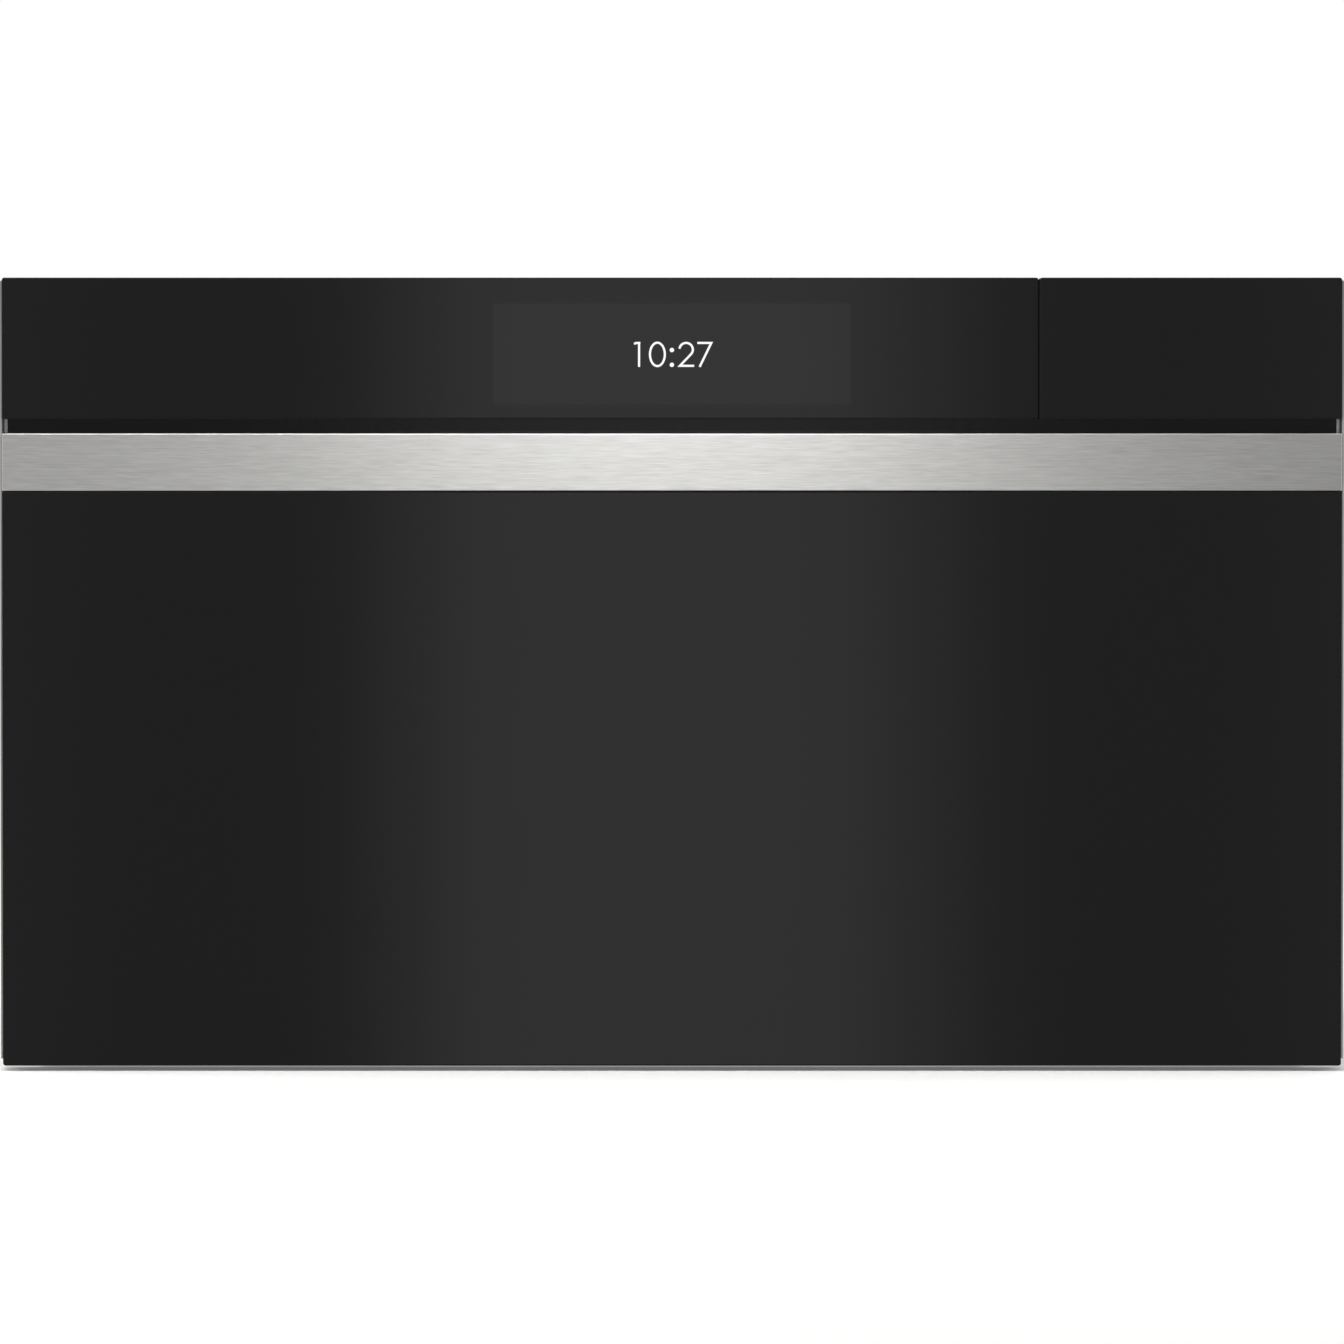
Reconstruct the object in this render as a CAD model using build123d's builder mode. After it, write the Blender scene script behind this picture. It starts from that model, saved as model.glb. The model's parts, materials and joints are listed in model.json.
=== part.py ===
from build123d import *
import math
import os

os.makedirs("parts", exist_ok=True)

# Built-in combination steam oven: drop-down glass door, glass control fascia and
# a water drawer behind the right-hand fascia pane.
# X runs along the front, the front looks towards -Y and Z is up. The origin lies
# under the middle of the oven, level with the soles of its runners.

# Glass front, from the bottom up
pane_thickness = 4.0
pane_corner = 1.5
pane_ground_edge = 0.5
pane_bottom_z = 3.0
strip_height = 32.7
recess_height = 8.1
fascia_height = 79.8
drawer_pane_width = 170.5
pane_split = 0.8

# Body behind the front
door_depth = 36.0
body_bottom_z = 4.0
body_top_drop = 6.1
sheet = 1.2

# Stainless pull strip
strip_proud = 0.3
strip_wall = 1.5
strip_shelf_depth = 20.0
strip_lip_height = 9.0
strip_edge_radius = 0.7
strip_joint = 0.3

# Side trims
trim_body_lap = 19.5
trim_overhang = 1.5
trim_leg = 1.2
trim_flange = 1.5
trim_flange_width = 34.5
trim_pane_gap = 2.5
trim_side_gap = 1.5
trim_drop_top = 1.6
trim_rise_bottom = 3.7
trim_screw_radius = 2.25
trim_screw_inset = 9.5
trim_screw_low_z = 60.0
trim_screw_rise = 330.0

# Cavity
cavity_width = 444.0
cavity_height = 250.0
cavity_depth = 387.0
cavity_floor_z = 66.0
cavity_corner = 14.0
fan_chamber_depth = 46.0
cavity_flange = 17.0
frame_lap = 2.0
gasket_width = 8.0
gasket_inset = 4.0
gasket_door_gap = 0.3
insulation_thickness = 20.0
motor_standoff = 22.0
motor_length = 44.0
motor_rear_gap = 36.4

# Steam generator, in the space beside the cavity
boiler_radius = 36.0
boiler_lug = 14.0
boiler_wool_gap = 6.8
boiler_side_gap = 8.8

# Door build-up
door_inner_back = 6.0
inner_pane_thickness = 4.0
middle_pane_thickness = 3.0
middle_pane_setback = 9.0
middle_pane_play = 0.5
column_outer_inset = 6.0
column_width = 32.0
column_wall = 1.5
column_rib = 7.0
column_groove_play = 0.2
door_foot_height = 37.0
door_foot_rise = 2.0
door_foot_back = 10.0
door_sheet = 1.2
top_rail_height = 40.0
inner_pane_top_gap = 9.0

# Door hinges
pivot_setback = 25.0
pivot_z = 22.0
hinge_inset = 9.0
hinge_pin_radius = 4.0
hinge_pin_play = 0.05
hinge_eye_radius = 5.5
hinge_channel_width = 18.0
hinge_cheek = 2.0
hinge_channel_depth = 18.0
hinge_channel_top_z = 200.0
hinge_side_play = 0.3
arm_thickness = 6.0
arm_slot_play = 2.0
arm_reach = 58.0
strap_sector_radius = 6.5
rod_radius = 2.5
rod_head_radius = 6.0
rod_head = 3.0
rod_play = 0.1
spring_seat_z = 62.0
spring_seat = 2.5
spring_radius = 5.4
spring_bore = 3.6
spring_length = 84.0
spring_gap = 0.3
door_swing = math.pi / 2
rod_tip_gap = 7.5

# Control fascia
carrier_wall = 2.0
carrier_inset = 1.0
carrier_side_inset = 4.0
display_width = 202.0
display_height = 57.0
display_drop = 43.1
display_depth = 10.0
board_thickness = 1.6
board_setback = 14.0
board_end_margin = 34.0
board_edge_margin = 11.0
post_radius = 3.0

# Water drawer
drawer_front_depth = 16.0
tray_width = 116.0
tray_wall = 2.0
tray_length = 280.0
tray_height = 50.0
tray_floor_gap = 2.5
tank_play = 0.5
tank_wall = 2.0
tank_corner = 10.0
tank_height = 54.0
tank_front_gap = 4.0
tank_back_gap = 4.0
tank_lid_height = 6.0
filler_length = 60.0
filler_width = 36.0
spigot_radius = 8.0
spigot_sides = 8
spigot_length = 20.0
spigot_z_rise = 14.0
dock_play = 0.3
dock_radius = 13.0
dock_overlap = 12.0
bay_inner_width = 137.0
bay_wall = 1.5
bay_floor_rise = 24.8
bay_roof_gap = 2.0
bay_rear_gap = 40.0
bay_right_gap = 13.5
drawer_travel = 285.0
rail_end_margin = 5.0
rail_length = drawer_travel + rail_end_margin
rail_gauge = 1.2
rail_half_height = 17.0
rail_play = 0.4
rail_flange_reach = 8.5
rail_z_rise = 33.0

# Machine space above the cavity
shelf_gap = 3.8
machine_height = 99.8
duct_height = 20.0
duct_wall = 1.0
duct_side_gap = 30.0
duct_bay_gap = 9.3
blower_inset = 120.0
blower_length = 230.0
blower_rear_gap = 111.0
blower_radius = 28.0
blower_scroll_gap = 9.0
blower_blades = 16
blower_shaft_radius = 3.0

# Places worked out from the sizes above
cavity_side_x = cavity_width / 2
boiler_half_width = boiler_radius + boiler_lug
boiler_x = cavity_side_x + sheet + insulation_thickness + boiler_wool_gap + boiler_half_width
body_side_x = boiler_x + boiler_half_width + boiler_side_gap + sheet
trim_x = body_side_x + trim_body_lap
pane_edge_x = trim_x - trim_overhang
trim_leg_x = trim_x - trim_leg
trim_screw_x = trim_x - trim_screw_inset
column_outer_x = pane_edge_x - column_outer_inset
hinge_x = body_side_x - hinge_inset
drawer_pane_left_x = pane_edge_x - drawer_pane_width
control_pane_right_x = drawer_pane_left_x - pane_split
cavity_shell_depth = cavity_depth + fan_chamber_depth + sheet
body_depth = sheet + cavity_shell_depth + motor_standoff + motor_length + motor_rear_gap + sheet
total_depth = strip_proud + door_depth + body_depth
strip_front_y = -total_depth / 2
pane_front_y = strip_front_y + strip_proud
pane_back_y = pane_front_y + pane_thickness
face_y = pane_front_y + door_depth
rear_y = face_y + body_depth
frame_back_y = face_y + sheet
cavity_top_z = cavity_floor_z + cavity_height
cavity_mid_z = (cavity_floor_z + cavity_top_z) / 2
shelf_z = cavity_top_z + sheet + insulation_thickness + shelf_gap
shelf_top_z = shelf_z + sheet
body_top_z = shelf_top_z + machine_height
front_top_z = body_top_z + body_top_drop
fascia_bottom_z = front_top_z - fascia_height
door_top_z = fascia_bottom_z - recess_height
strip_bottom_z = door_top_z - strip_height
bay_floor_z = shelf_top_z + bay_floor_rise
bay_roof_z = body_top_z - bay_roof_gap
baffle_y = frame_back_y + cavity_depth
cavity_back_y = baffle_y + fan_chamber_depth
HANDS = {"left": -1, "right": 1}


def block(x, y, z, mode=Mode.ADD):
    """Rectangular block between a pair of limits on each axis."""
    with Locations(((x[0] + x[1]) / 2, (y[0] + y[1]) / 2, (z[0] + z[1]) / 2)):
        Box(abs(x[1] - x[0]), abs(y[1] - y[0]), abs(z[1] - z[0]), mode=mode)


def round_bar(start, end, radius, mode=Mode.ADD):
    """Round bar, or hole, from one point to another."""
    run = Vector(*end) - Vector(*start)
    with BuildSketch(Plane(start, z_dir=run)) as section:
        Circle(radius)
    extrude(section.sketch, amount=run.length, mode=mode)


def wire_bar(start, end, radius, sides=6, mode=Mode.ADD):
    """Thin wire, tube or stub, or its hole, from one point to another, with few sides."""
    run = Vector(*end) - Vector(*start)
    with BuildSketch(Plane(start, z_dir=run)) as section:
        RegularPolygon(radius, sides)
    extrude(section.sketch, amount=run.length, mode=mode)


def profile_along_x(points, x, mode=Mode.ADD):
    """Closed outline of (y, z) points drawn out between two places along X."""
    with BuildSketch(Plane.YZ.offset(min(x))) as section:
        with BuildLine():
            Polyline(*points, close=True)
        make_face()
    extrude(section.sketch, amount=abs(x[1] - x[0]), mode=mode)


def profile_along_y(points, y, mode=Mode.ADD):
    """Closed outline of (x, z) points drawn out between two places along Y."""
    with BuildSketch(Plane.XZ.offset(-max(y))) as section:
        with BuildLine():
            Polyline(*points, close=True)
        make_face()
    extrude(section.sketch, amount=abs(y[1] - y[0]), mode=mode)


def profile_along_z(points, z, mode=Mode.ADD):
    """Closed outline of (x, y) points drawn out between two heights."""
    with BuildSketch(Plane.XY.offset(min(z))) as section:
        with BuildLine():
            Polyline(*points, close=True)
        make_face()
    extrude(section.sketch, amount=abs(z[1] - z[0]), mode=mode)


def pane(x, z, front_y, thickness, corner):
    """Upright pane with rounded corners, its front at front_y."""
    with BuildSketch(Plane.XZ.offset(-front_y)) as outline:
        with Locations(((x[0] + x[1]) / 2, (z[0] + z[1]) / 2)):
            RectangleRounded(x[1] - x[0], z[1] - z[0], corner)
    extrude(outline.sketch, amount=-thickness)


# Door: outer pane
with BuildPart() as door_glass:
    pane(
        (-pane_edge_x, pane_edge_x),
        (pane_bottom_z, strip_bottom_z),
        pane_front_y,
        pane_thickness,
        pane_corner,
    )
    chamfer(door_glass.faces().sort_by(Axis.Y)[0].edges(), pane_ground_edge)
door_glass.part.label = "door_glass"
export_step(door_glass.part, "parts/door_glass.step")

# Door: stainless strip, bent to a finger grip along the top of the door
strip_base_z = strip_bottom_z + strip_joint
strip_shelf_y = strip_front_y + strip_shelf_depth
with BuildPart() as pull_strip:
    with BuildSketch(Plane.YZ.offset(-pane_edge_x)) as strip_section:
        with BuildLine():
            Polyline(
                (strip_front_y, strip_base_z),
                (strip_front_y, door_top_z),
                (strip_shelf_y, door_top_z),
                (strip_shelf_y, door_top_z - strip_lip_height),
                (strip_shelf_y - strip_wall, door_top_z - strip_lip_height),
                (strip_shelf_y - strip_wall, door_top_z - strip_wall),
                (strip_front_y + strip_wall, door_top_z - strip_wall),
                (strip_front_y + strip_wall, strip_base_z + strip_wall),
                (pane_back_y, strip_base_z + strip_wall),
                (pane_back_y, strip_base_z),
                close=True,
            )
        make_face()
    extrude(strip_section.sketch, amount=2 * pane_edge_x)
    strip_long_edges = pull_strip.edges().filter_by(Axis.X)
    strip_front_edges = strip_long_edges.group_by(Axis.Y)[0]
    strip_back_edges = strip_long_edges.group_by(Axis.Y)[-1]
    fillet(strip_front_edges + strip_back_edges, strip_edge_radius)
    for side in HANDS.values():
        block(
            (side * (trim_leg_x - trim_side_gap), side * pane_edge_x),
            (pane_back_y, strip_shelf_y),
            (strip_base_z, door_top_z),
            mode=Mode.SUBTRACT,
        )
pull_strip.part.label = "pull_strip"
export_step(pull_strip.part, "parts/pull_strip.step")

# Door: extruded rail that fills the strip and carries it above the outer pane
top_rail_back_y = strip_shelf_y - strip_wall
top_rail_top_z = door_top_z - strip_wall
top_rail_bottom_z = top_rail_top_z - top_rail_height
with BuildPart() as door_top_rail:
    block(
        (-column_outer_x, column_outer_x),
        (pane_back_y, top_rail_back_y),
        (top_rail_bottom_z, top_rail_top_z),
    )
    block(
        (-column_outer_x, column_outer_x),
        (pane_back_y + column_wall, top_rail_back_y - column_wall),
        (top_rail_bottom_z + column_wall, top_rail_top_z - column_wall),
        mode=Mode.SUBTRACT,
    )
door_top_rail.part.label = "door_top_rail"
export_step(door_top_rail.part, "parts/door_top_rail.step")

# Door: folded foot channel under the columns, slotted where the hinge arms swing
door_back_y = face_y - door_inner_back
inner_pane_front_y = door_back_y - inner_pane_thickness
foot_bottom_z = pane_bottom_z + door_foot_rise
foot_top_z = foot_bottom_z + door_foot_height
foot_back_y = face_y - door_foot_back
arm_slot_half = arm_thickness / 2 + arm_slot_play
arm_slot_top_z = pivot_z + strap_sector_radius
with BuildPart() as door_foot:
    block(
        (-column_outer_x, column_outer_x),
        (pane_back_y, foot_back_y),
        (foot_bottom_z, foot_top_z),
    )
    block(
        (-column_outer_x, column_outer_x),
        (pane_back_y + door_sheet, foot_back_y - door_sheet),
        (foot_bottom_z + door_sheet, foot_top_z),
        mode=Mode.SUBTRACT,
    )
    for side in HANDS.values():
        block(
            (side * hinge_x - arm_slot_half, side * hinge_x + arm_slot_half),
            (pane_back_y + door_sheet, foot_back_y),
            (foot_bottom_z, arm_slot_top_z),
            mode=Mode.SUBTRACT,
        )
door_foot.part.label = "door_foot"
export_step(door_foot.part, "parts/door_foot.step")

# Door: extruded side columns, one solid each, with a groove for the middle pane
column_inner_x = column_outer_x - column_width
middle_pane_y = pane_back_y + middle_pane_setback
groove_front_y = middle_pane_y - column_groove_play / 2
groove_back_y = middle_pane_y + middle_pane_thickness + column_groove_play / 2
column_top_z = top_rail_bottom_z
with BuildPart() as door_columns:
    for side in HANDS.values():
        rib_x = side * (column_inner_x - column_rib)
        wall_x = side * column_inner_x
        profile_along_z(
            [
                (side * column_outer_x, pane_back_y),
                (wall_x, pane_back_y),
                (wall_x, groove_front_y - column_wall),
                (rib_x, groove_front_y - column_wall),
                (rib_x, groove_front_y),
                (wall_x, groove_front_y),
                (wall_x, groove_back_y),
                (rib_x, groove_back_y),
                (rib_x, groove_back_y + column_wall),
                (wall_x, groove_back_y + column_wall),
                (wall_x, inner_pane_front_y),
                (side * column_outer_x, inner_pane_front_y),
            ],
            (foot_top_z, column_top_z),
        )
        block(
            (side * (column_inner_x + column_wall), side * (column_outer_x - column_wall)),
            (pane_back_y + column_wall, inner_pane_front_y - column_wall),
            (foot_top_z, column_top_z),
            mode=Mode.SUBTRACT,
        )
door_columns.part.label = "door_columns"
export_step(door_columns.part, "parts/door_columns.step")

# Door: middle pane in the columns' grooves and inner pane on their backs
middle_pane_x = column_inner_x - middle_pane_play
with BuildPart() as door_middle_glass:
    block(
        (-middle_pane_x, middle_pane_x),
        (middle_pane_y, middle_pane_y + middle_pane_thickness),
        (foot_top_z, column_top_z),
    )
door_middle_glass.part.label = "door_middle_glass"
export_step(door_middle_glass.part, "parts/door_middle_glass.step")

with BuildPart() as door_inner_glass:
    block(
        (-column_outer_x, column_outer_x),
        (inner_pane_front_y, door_back_y),
        (foot_top_z, door_top_z - inner_pane_top_gap),
    )
door_inner_glass.part.label = "door_inner_glass"
export_step(door_inner_glass.part, "parts/door_inner_glass.step")

# Door hinge: channel in each column, with ears on the pivot pin and a spring seat
pivot_y = face_y - pivot_setback
channel_front_y = pane_back_y + pane_thickness / 2
channel_back_y = channel_front_y + hinge_channel_depth
channel_web_z = arm_slot_top_z + arm_slot_play
rod_y = pivot_y + strap_sector_radius
cheek_gap = hinge_channel_width - 2 * hinge_cheek
with BuildPart() as hinge_channels:
    for side in HANDS.values():
        mid_x = side * hinge_x
        for edge in (-1, 1):
            cheek_x = (
                mid_x + edge * cheek_gap / 2,
                mid_x + edge * hinge_channel_width / 2,
            )
            profile_along_x(
                [
                    (channel_front_y, hinge_channel_top_z),
                    (channel_front_y, channel_web_z),
                    (pivot_y - hinge_eye_radius, channel_web_z),
                    (pivot_y - hinge_eye_radius, pivot_z - hinge_pin_radius),
                    (pivot_y - hinge_pin_radius, pivot_z - hinge_eye_radius),
                    (pivot_y + hinge_pin_radius, pivot_z - hinge_eye_radius),
                    (pivot_y + hinge_eye_radius, pivot_z - hinge_pin_radius),
                    (pivot_y + hinge_eye_radius, channel_web_z),
                    (channel_back_y, channel_web_z),
                    (channel_back_y, hinge_channel_top_z),
                ],
                cheek_x,
            )
        block(
            (mid_x - hinge_channel_width / 2, mid_x + hinge_channel_width / 2),
            (channel_front_y, channel_front_y + hinge_cheek),
            (channel_web_z, hinge_channel_top_z),
        )
        block(
            (mid_x - cheek_gap / 2, mid_x + cheek_gap / 2),
            (channel_front_y, channel_back_y),
            (spring_seat_z - spring_seat, spring_seat_z),
        )
        wire_bar(
            (mid_x, rod_y, spring_seat_z - spring_seat),
            (mid_x, rod_y, spring_seat_z),
            rod_radius + rod_play,
            mode=Mode.SUBTRACT,
        )
        round_bar(
            (mid_x - hinge_channel_width / 2, pivot_y, pivot_z),
            (mid_x + hinge_channel_width / 2, pivot_y, pivot_z),
            hinge_pin_radius,
        )
hinge_channels.part.label = "hinge_channels"
export_step(hinge_channels.part, "parts/hinge_channels.step")

# Door hinge: arm fixed in the body, with the boss and strap sector on the pivot
arm_back_y = face_y + arm_reach
arm_hook = 14.0
boss_sides = 12
boss_half = cheek_gap / 2 - hinge_side_play
with BuildPart() as hinge_arms:
    for side in HANDS.values():
        mid_x = side * hinge_x
        arm_x = (mid_x - arm_thickness / 2, mid_x + arm_thickness / 2)
        profile_along_x(
            [
                (pivot_y, pivot_z - hinge_eye_radius),
                (face_y, pivot_z - hinge_eye_radius),
                (arm_back_y, pivot_z - hinge_eye_radius),
                (arm_back_y, pivot_z + arm_hook),
                (arm_back_y - arm_hook, pivot_z + arm_hook),
                (arm_back_y - arm_hook, pivot_z + hinge_eye_radius),
                (rod_y, pivot_z + hinge_eye_radius),
                (pivot_y + hinge_pin_radius, pivot_z + strap_sector_radius),
                (pivot_y, pivot_z + strap_sector_radius),
            ],
            arm_x,
        )
        wire_bar(
            (mid_x - boss_half, pivot_y, pivot_z),
            (mid_x + boss_half, pivot_y, pivot_z),
            hinge_eye_radius,
            boss_sides,
        )
        round_bar(
            (mid_x - boss_half, pivot_y, pivot_z),
            (mid_x + boss_half, pivot_y, pivot_z),
            hinge_pin_radius + hinge_pin_play,
            mode=Mode.SUBTRACT,
        )
hinge_arms.part.label = "hinge_arms"
export_step(hinge_arms.part, "parts/hinge_arms.step")

# Door hinge: folded socket behind the front plate that holds the arm
socket_wall = 2.0
socket_depth = arm_reach + 4.0
with BuildPart() as hinge_sockets:
    for side in HANDS.values():
        mid_x = side * hinge_x
        for edge in (-1, 1):
            near_x = mid_x + edge * arm_thickness / 2
            wall_x = (near_x, near_x + edge * socket_wall)
            block(
                wall_x,
                (frame_back_y, face_y + socket_depth),
                (body_bottom_z + sheet, pivot_z + 2 * arm_hook),
            )
        block(
            (mid_x - arm_thickness / 2 - socket_wall, mid_x + arm_thickness / 2 + socket_wall),
            (face_y + socket_depth, face_y + socket_depth + socket_wall),
            (body_bottom_z + sheet, pivot_z + 2 * arm_hook),
        )
hinge_sockets.part.label = "hinge_sockets"
export_step(hinge_sockets.part, "parts/hinge_sockets.step")

# Door hinge: sliding spring rod, pulled down by the strap sector as the door opens
rod_head_z = spring_seat_z + spring_length + 2 * spring_gap
rod_travel = strap_sector_radius * door_swing
rod_bottom_z = arm_slot_top_z + rod_tip_gap + rod_travel
with BuildPart() as hinge_rods:
    for side in HANDS.values():
        mid_x = side * hinge_x
        wire_bar((mid_x, rod_y, rod_bottom_z), (mid_x, rod_y, rod_head_z + rod_head), rod_radius)
        wire_bar((mid_x, rod_y, rod_head_z), (mid_x, rod_y, rod_head_z + rod_head), rod_head_radius)
hinge_rods.part.label = "hinge_rods"
export_step(hinge_rods.part, "parts/hinge_rods.step")

# Door hinge: compression springs round the rods, closed up to plain sleeves
spring_base_z = spring_seat_z + spring_gap
with BuildPart() as hinge_springs:
    with BuildSketch(Plane.XY.offset(spring_base_z)):
        with Locations(*[(side * hinge_x, rod_y) for side in HANDS.values()]):
            RegularPolygon(spring_radius, 8)
            RegularPolygon(spring_bore, 8, mode=Mode.SUBTRACT)
    extrude(amount=spring_length)
hinge_springs.part.label = "hinge_springs"
export_step(hinge_springs.part, "parts/hinge_springs.step")

# Side trims: stainless angles beside the front, screwed to the cabinet through their flanges
trim_leg_y = pane_back_y + trim_pane_gap
trim_low_z = pane_bottom_z + trim_rise_bottom
trim_high_z = front_top_z - trim_drop_top
flange_inner_x = trim_x - trim_flange_width
arm_notch_half = arm_slot_half + arm_slot_play
arm_notch_z = arm_slot_top_z + arm_slot_play
with BuildPart() as side_trims:
    for side in HANDS.values():
        profile_along_z(
            [
                (side * trim_x, trim_leg_y),
                (side * trim_leg_x, trim_leg_y),
                (side * trim_leg_x, face_y - trim_flange),
                (side * flange_inner_x, face_y - trim_flange),
                (side * flange_inner_x, face_y),
                (side * trim_x, face_y),
            ],
            (trim_low_z, trim_high_z),
        )
        block(
            (side * flange_inner_x, side * (hinge_x + arm_notch_half)),
            (face_y - trim_flange, face_y),
            (trim_low_z, arm_notch_z),
            mode=Mode.SUBTRACT,
        )
        for screw_z in (trim_screw_low_z, trim_screw_low_z + trim_screw_rise):
            round_bar(
                (side * trim_screw_x, face_y - trim_flange, screw_z),
                (side * trim_screw_x, face_y, screw_z),
                trim_screw_radius,
                mode=Mode.SUBTRACT,
            )
side_trims.part.label = "side_trims"
export_step(side_trims.part, "parts/side_trims.step")

# Water drawer bay: its place behind the right-hand pane
bay_outer_right_x = body_side_x - sheet - bay_right_gap
bay_right_x = bay_outer_right_x - bay_wall
bay_left_x = bay_right_x - bay_inner_width
bay_outer_left_x = bay_left_x - bay_wall
bay_mid_x = (bay_left_x + bay_right_x) / 2
drawer_front_back_y = pane_back_y + drawer_front_depth
tray_back_y = drawer_front_back_y + tray_length
bay_back_y = tray_back_y + bay_rear_gap

# Cooling air duct: its sides, between the left side panel and the drawer bay
duct_left_x = -body_side_x + duct_side_gap
duct_right_x = bay_outer_left_x - duct_bay_gap

# Front plate of the body: cavity mouth, drawer bay, cooling air outlet and arm slots
frame_mouth_x = cavity_side_x + cavity_flange - frame_lap
frame_mouth_low_z = cavity_floor_z - cavity_flange + frame_lap
frame_mouth_high_z = cavity_top_z + cavity_flange - frame_lap
with BuildPart() as front_plate:
    block((-body_side_x, body_side_x), (face_y, frame_back_y), (body_bottom_z, body_top_z))
    block(
        (-frame_mouth_x, frame_mouth_x),
        (face_y, frame_back_y),
        (frame_mouth_low_z, frame_mouth_high_z),
        mode=Mode.SUBTRACT,
    )
    mouth_corners = front_plate.edges().filter_by(Axis.Y).filter_by_position(
        Axis.Z, frame_mouth_low_z - 1, frame_mouth_high_z + 1
    )
    fillet(mouth_corners, cavity_corner)
    block(
        (bay_left_x, bay_right_x),
        (face_y, frame_back_y),
        (bay_floor_z + bay_wall, bay_roof_z - bay_wall),
        mode=Mode.SUBTRACT,
    )
    block(
        (duct_left_x + duct_wall, duct_right_x - duct_wall),
        (face_y, frame_back_y),
        (shelf_top_z, shelf_top_z + duct_height - duct_wall),
        mode=Mode.SUBTRACT,
    )
    for side in HANDS.values():
        block(
            (side * hinge_x - arm_thickness / 2, side * hinge_x + arm_thickness / 2),
            (face_y, frame_back_y),
            (pivot_z - hinge_eye_radius, pivot_z + arm_hook),
            mode=Mode.SUBTRACT,
        )
front_plate.part.label = "front_plate"
export_step(front_plate.part, "parts/front_plate.step")

# Control fascia: glass pane
with BuildPart() as control_glass:
    pane(
        (-pane_edge_x, control_pane_right_x),
        (fascia_bottom_z, front_top_z),
        pane_front_y,
        pane_thickness,
        pane_corner,
    )
    chamfer(control_glass.faces().sort_by(Axis.Y)[0].edges(), pane_ground_edge)
control_glass.part.label = "control_glass"
export_step(control_glass.part, "parts/control_glass.step")

# Control fascia: moulded carrier behind the pane, with posts for the board
carrier_left_x = -pane_edge_x + carrier_side_inset
carrier_right_x = control_pane_right_x - carrier_inset
carrier_low_z = fascia_bottom_z + carrier_inset
carrier_high_z = front_top_z - carrier_inset
carrier_rest_y = face_y - trim_flange
board_back_y = carrier_rest_y - board_setback
board_front_y = board_back_y - board_thickness
board_x = (carrier_left_x + board_end_margin, carrier_right_x - board_end_margin)
board_z = (carrier_low_z + board_edge_margin, carrier_high_z - board_edge_margin)
post_inset = 2 * post_radius
cable_slot_width = 60.0
cable_slot_height = 14.0
with BuildPart() as control_carrier:
    block(
        (carrier_left_x, carrier_right_x),
        (pane_back_y, carrier_rest_y),
        (carrier_low_z, carrier_high_z),
    )
    block(
        (carrier_left_x + carrier_wall, carrier_right_x - carrier_wall),
        (pane_back_y, carrier_rest_y - carrier_wall),
        (carrier_low_z + carrier_wall, carrier_high_z - carrier_wall),
        mode=Mode.SUBTRACT,
    )
    block(
        (-flange_inner_x + carrier_inset, carrier_right_x),
        (carrier_rest_y - carrier_wall, face_y),
        (carrier_low_z, body_top_z),
    )
    block(
        (-cable_slot_width / 2, cable_slot_width / 2),
        (carrier_rest_y - carrier_wall, face_y),
        (board_z[0], board_z[0] + cable_slot_height),
        mode=Mode.SUBTRACT,
    )
    for post_x in (board_x[0] + post_inset, 0, board_x[1] - post_inset):
        for post_z in (board_z[0] + post_inset, board_z[1] - post_inset):
            if post_x != 0 or post_z > board_z[0] + post_inset:
                wire_bar(
                    (post_x, board_back_y, post_z),
                    (post_x, carrier_rest_y, post_z),
                    post_radius,
                )
control_carrier.part.label = "control_carrier"
export_step(control_carrier.part, "parts/control_carrier.step")

# Control fascia: touch display bonded to the back of the pane
display_mid_z = front_top_z - display_drop
display_case_margin = 5.0
display_case_x = display_width / 2 + display_case_margin
display_case_z = display_height / 2 + display_case_margin
display_connector = 16.0
with BuildPart() as display_module:
    block(
        (-display_case_x, display_case_x),
        (pane_back_y, pane_back_y + display_depth - display_case_margin),
        (display_mid_z - display_case_z, display_mid_z + display_case_z),
    )
    block(
        (-display_width / 2, display_width / 2),
        (pane_back_y, pane_back_y + display_depth),
        (display_mid_z - display_height / 2, display_mid_z + display_height / 2),
    )
    block(
        (-display_connector, display_connector),
        (pane_back_y, board_front_y),
        (display_mid_z - display_connector / 2, display_mid_z + display_connector / 2),
    )
display_module.part.label = "display_module"
export_step(display_module.part, "parts/display_module.step")

# Control fascia: control board on the carrier's posts, with its larger chips
chip_size = 22.0
chip_thickness = 1.6
chip_pitch = 60.0
chip_first_x = -250.0
chip_count = 3
with BuildPart() as control_board:
    block(board_x, (board_front_y, board_back_y), board_z)
    for chip in range(chip_count):
        chip_x = chip_first_x + chip * chip_pitch
        block(
            (chip_x, chip_x + chip_size),
            (board_front_y - chip_thickness, board_front_y),
            (board_z[1] - 2 * chip_thickness - chip_size, board_z[1] - 2 * chip_thickness),
        )
control_board.part.label = "control_board"
export_step(control_board.part, "parts/control_board.step")

# Water drawer: right-hand glass pane
with BuildPart() as drawer_glass:
    pane(
        (drawer_pane_left_x, pane_edge_x),
        (fascia_bottom_z, front_top_z),
        pane_front_y,
        pane_thickness,
        pane_corner,
    )
    chamfer(drawer_glass.faces().sort_by(Axis.Y)[0].edges(), pane_ground_edge)
drawer_glass.part.label = "drawer_glass"
export_step(drawer_glass.part, "parts/drawer_glass.step")

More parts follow.
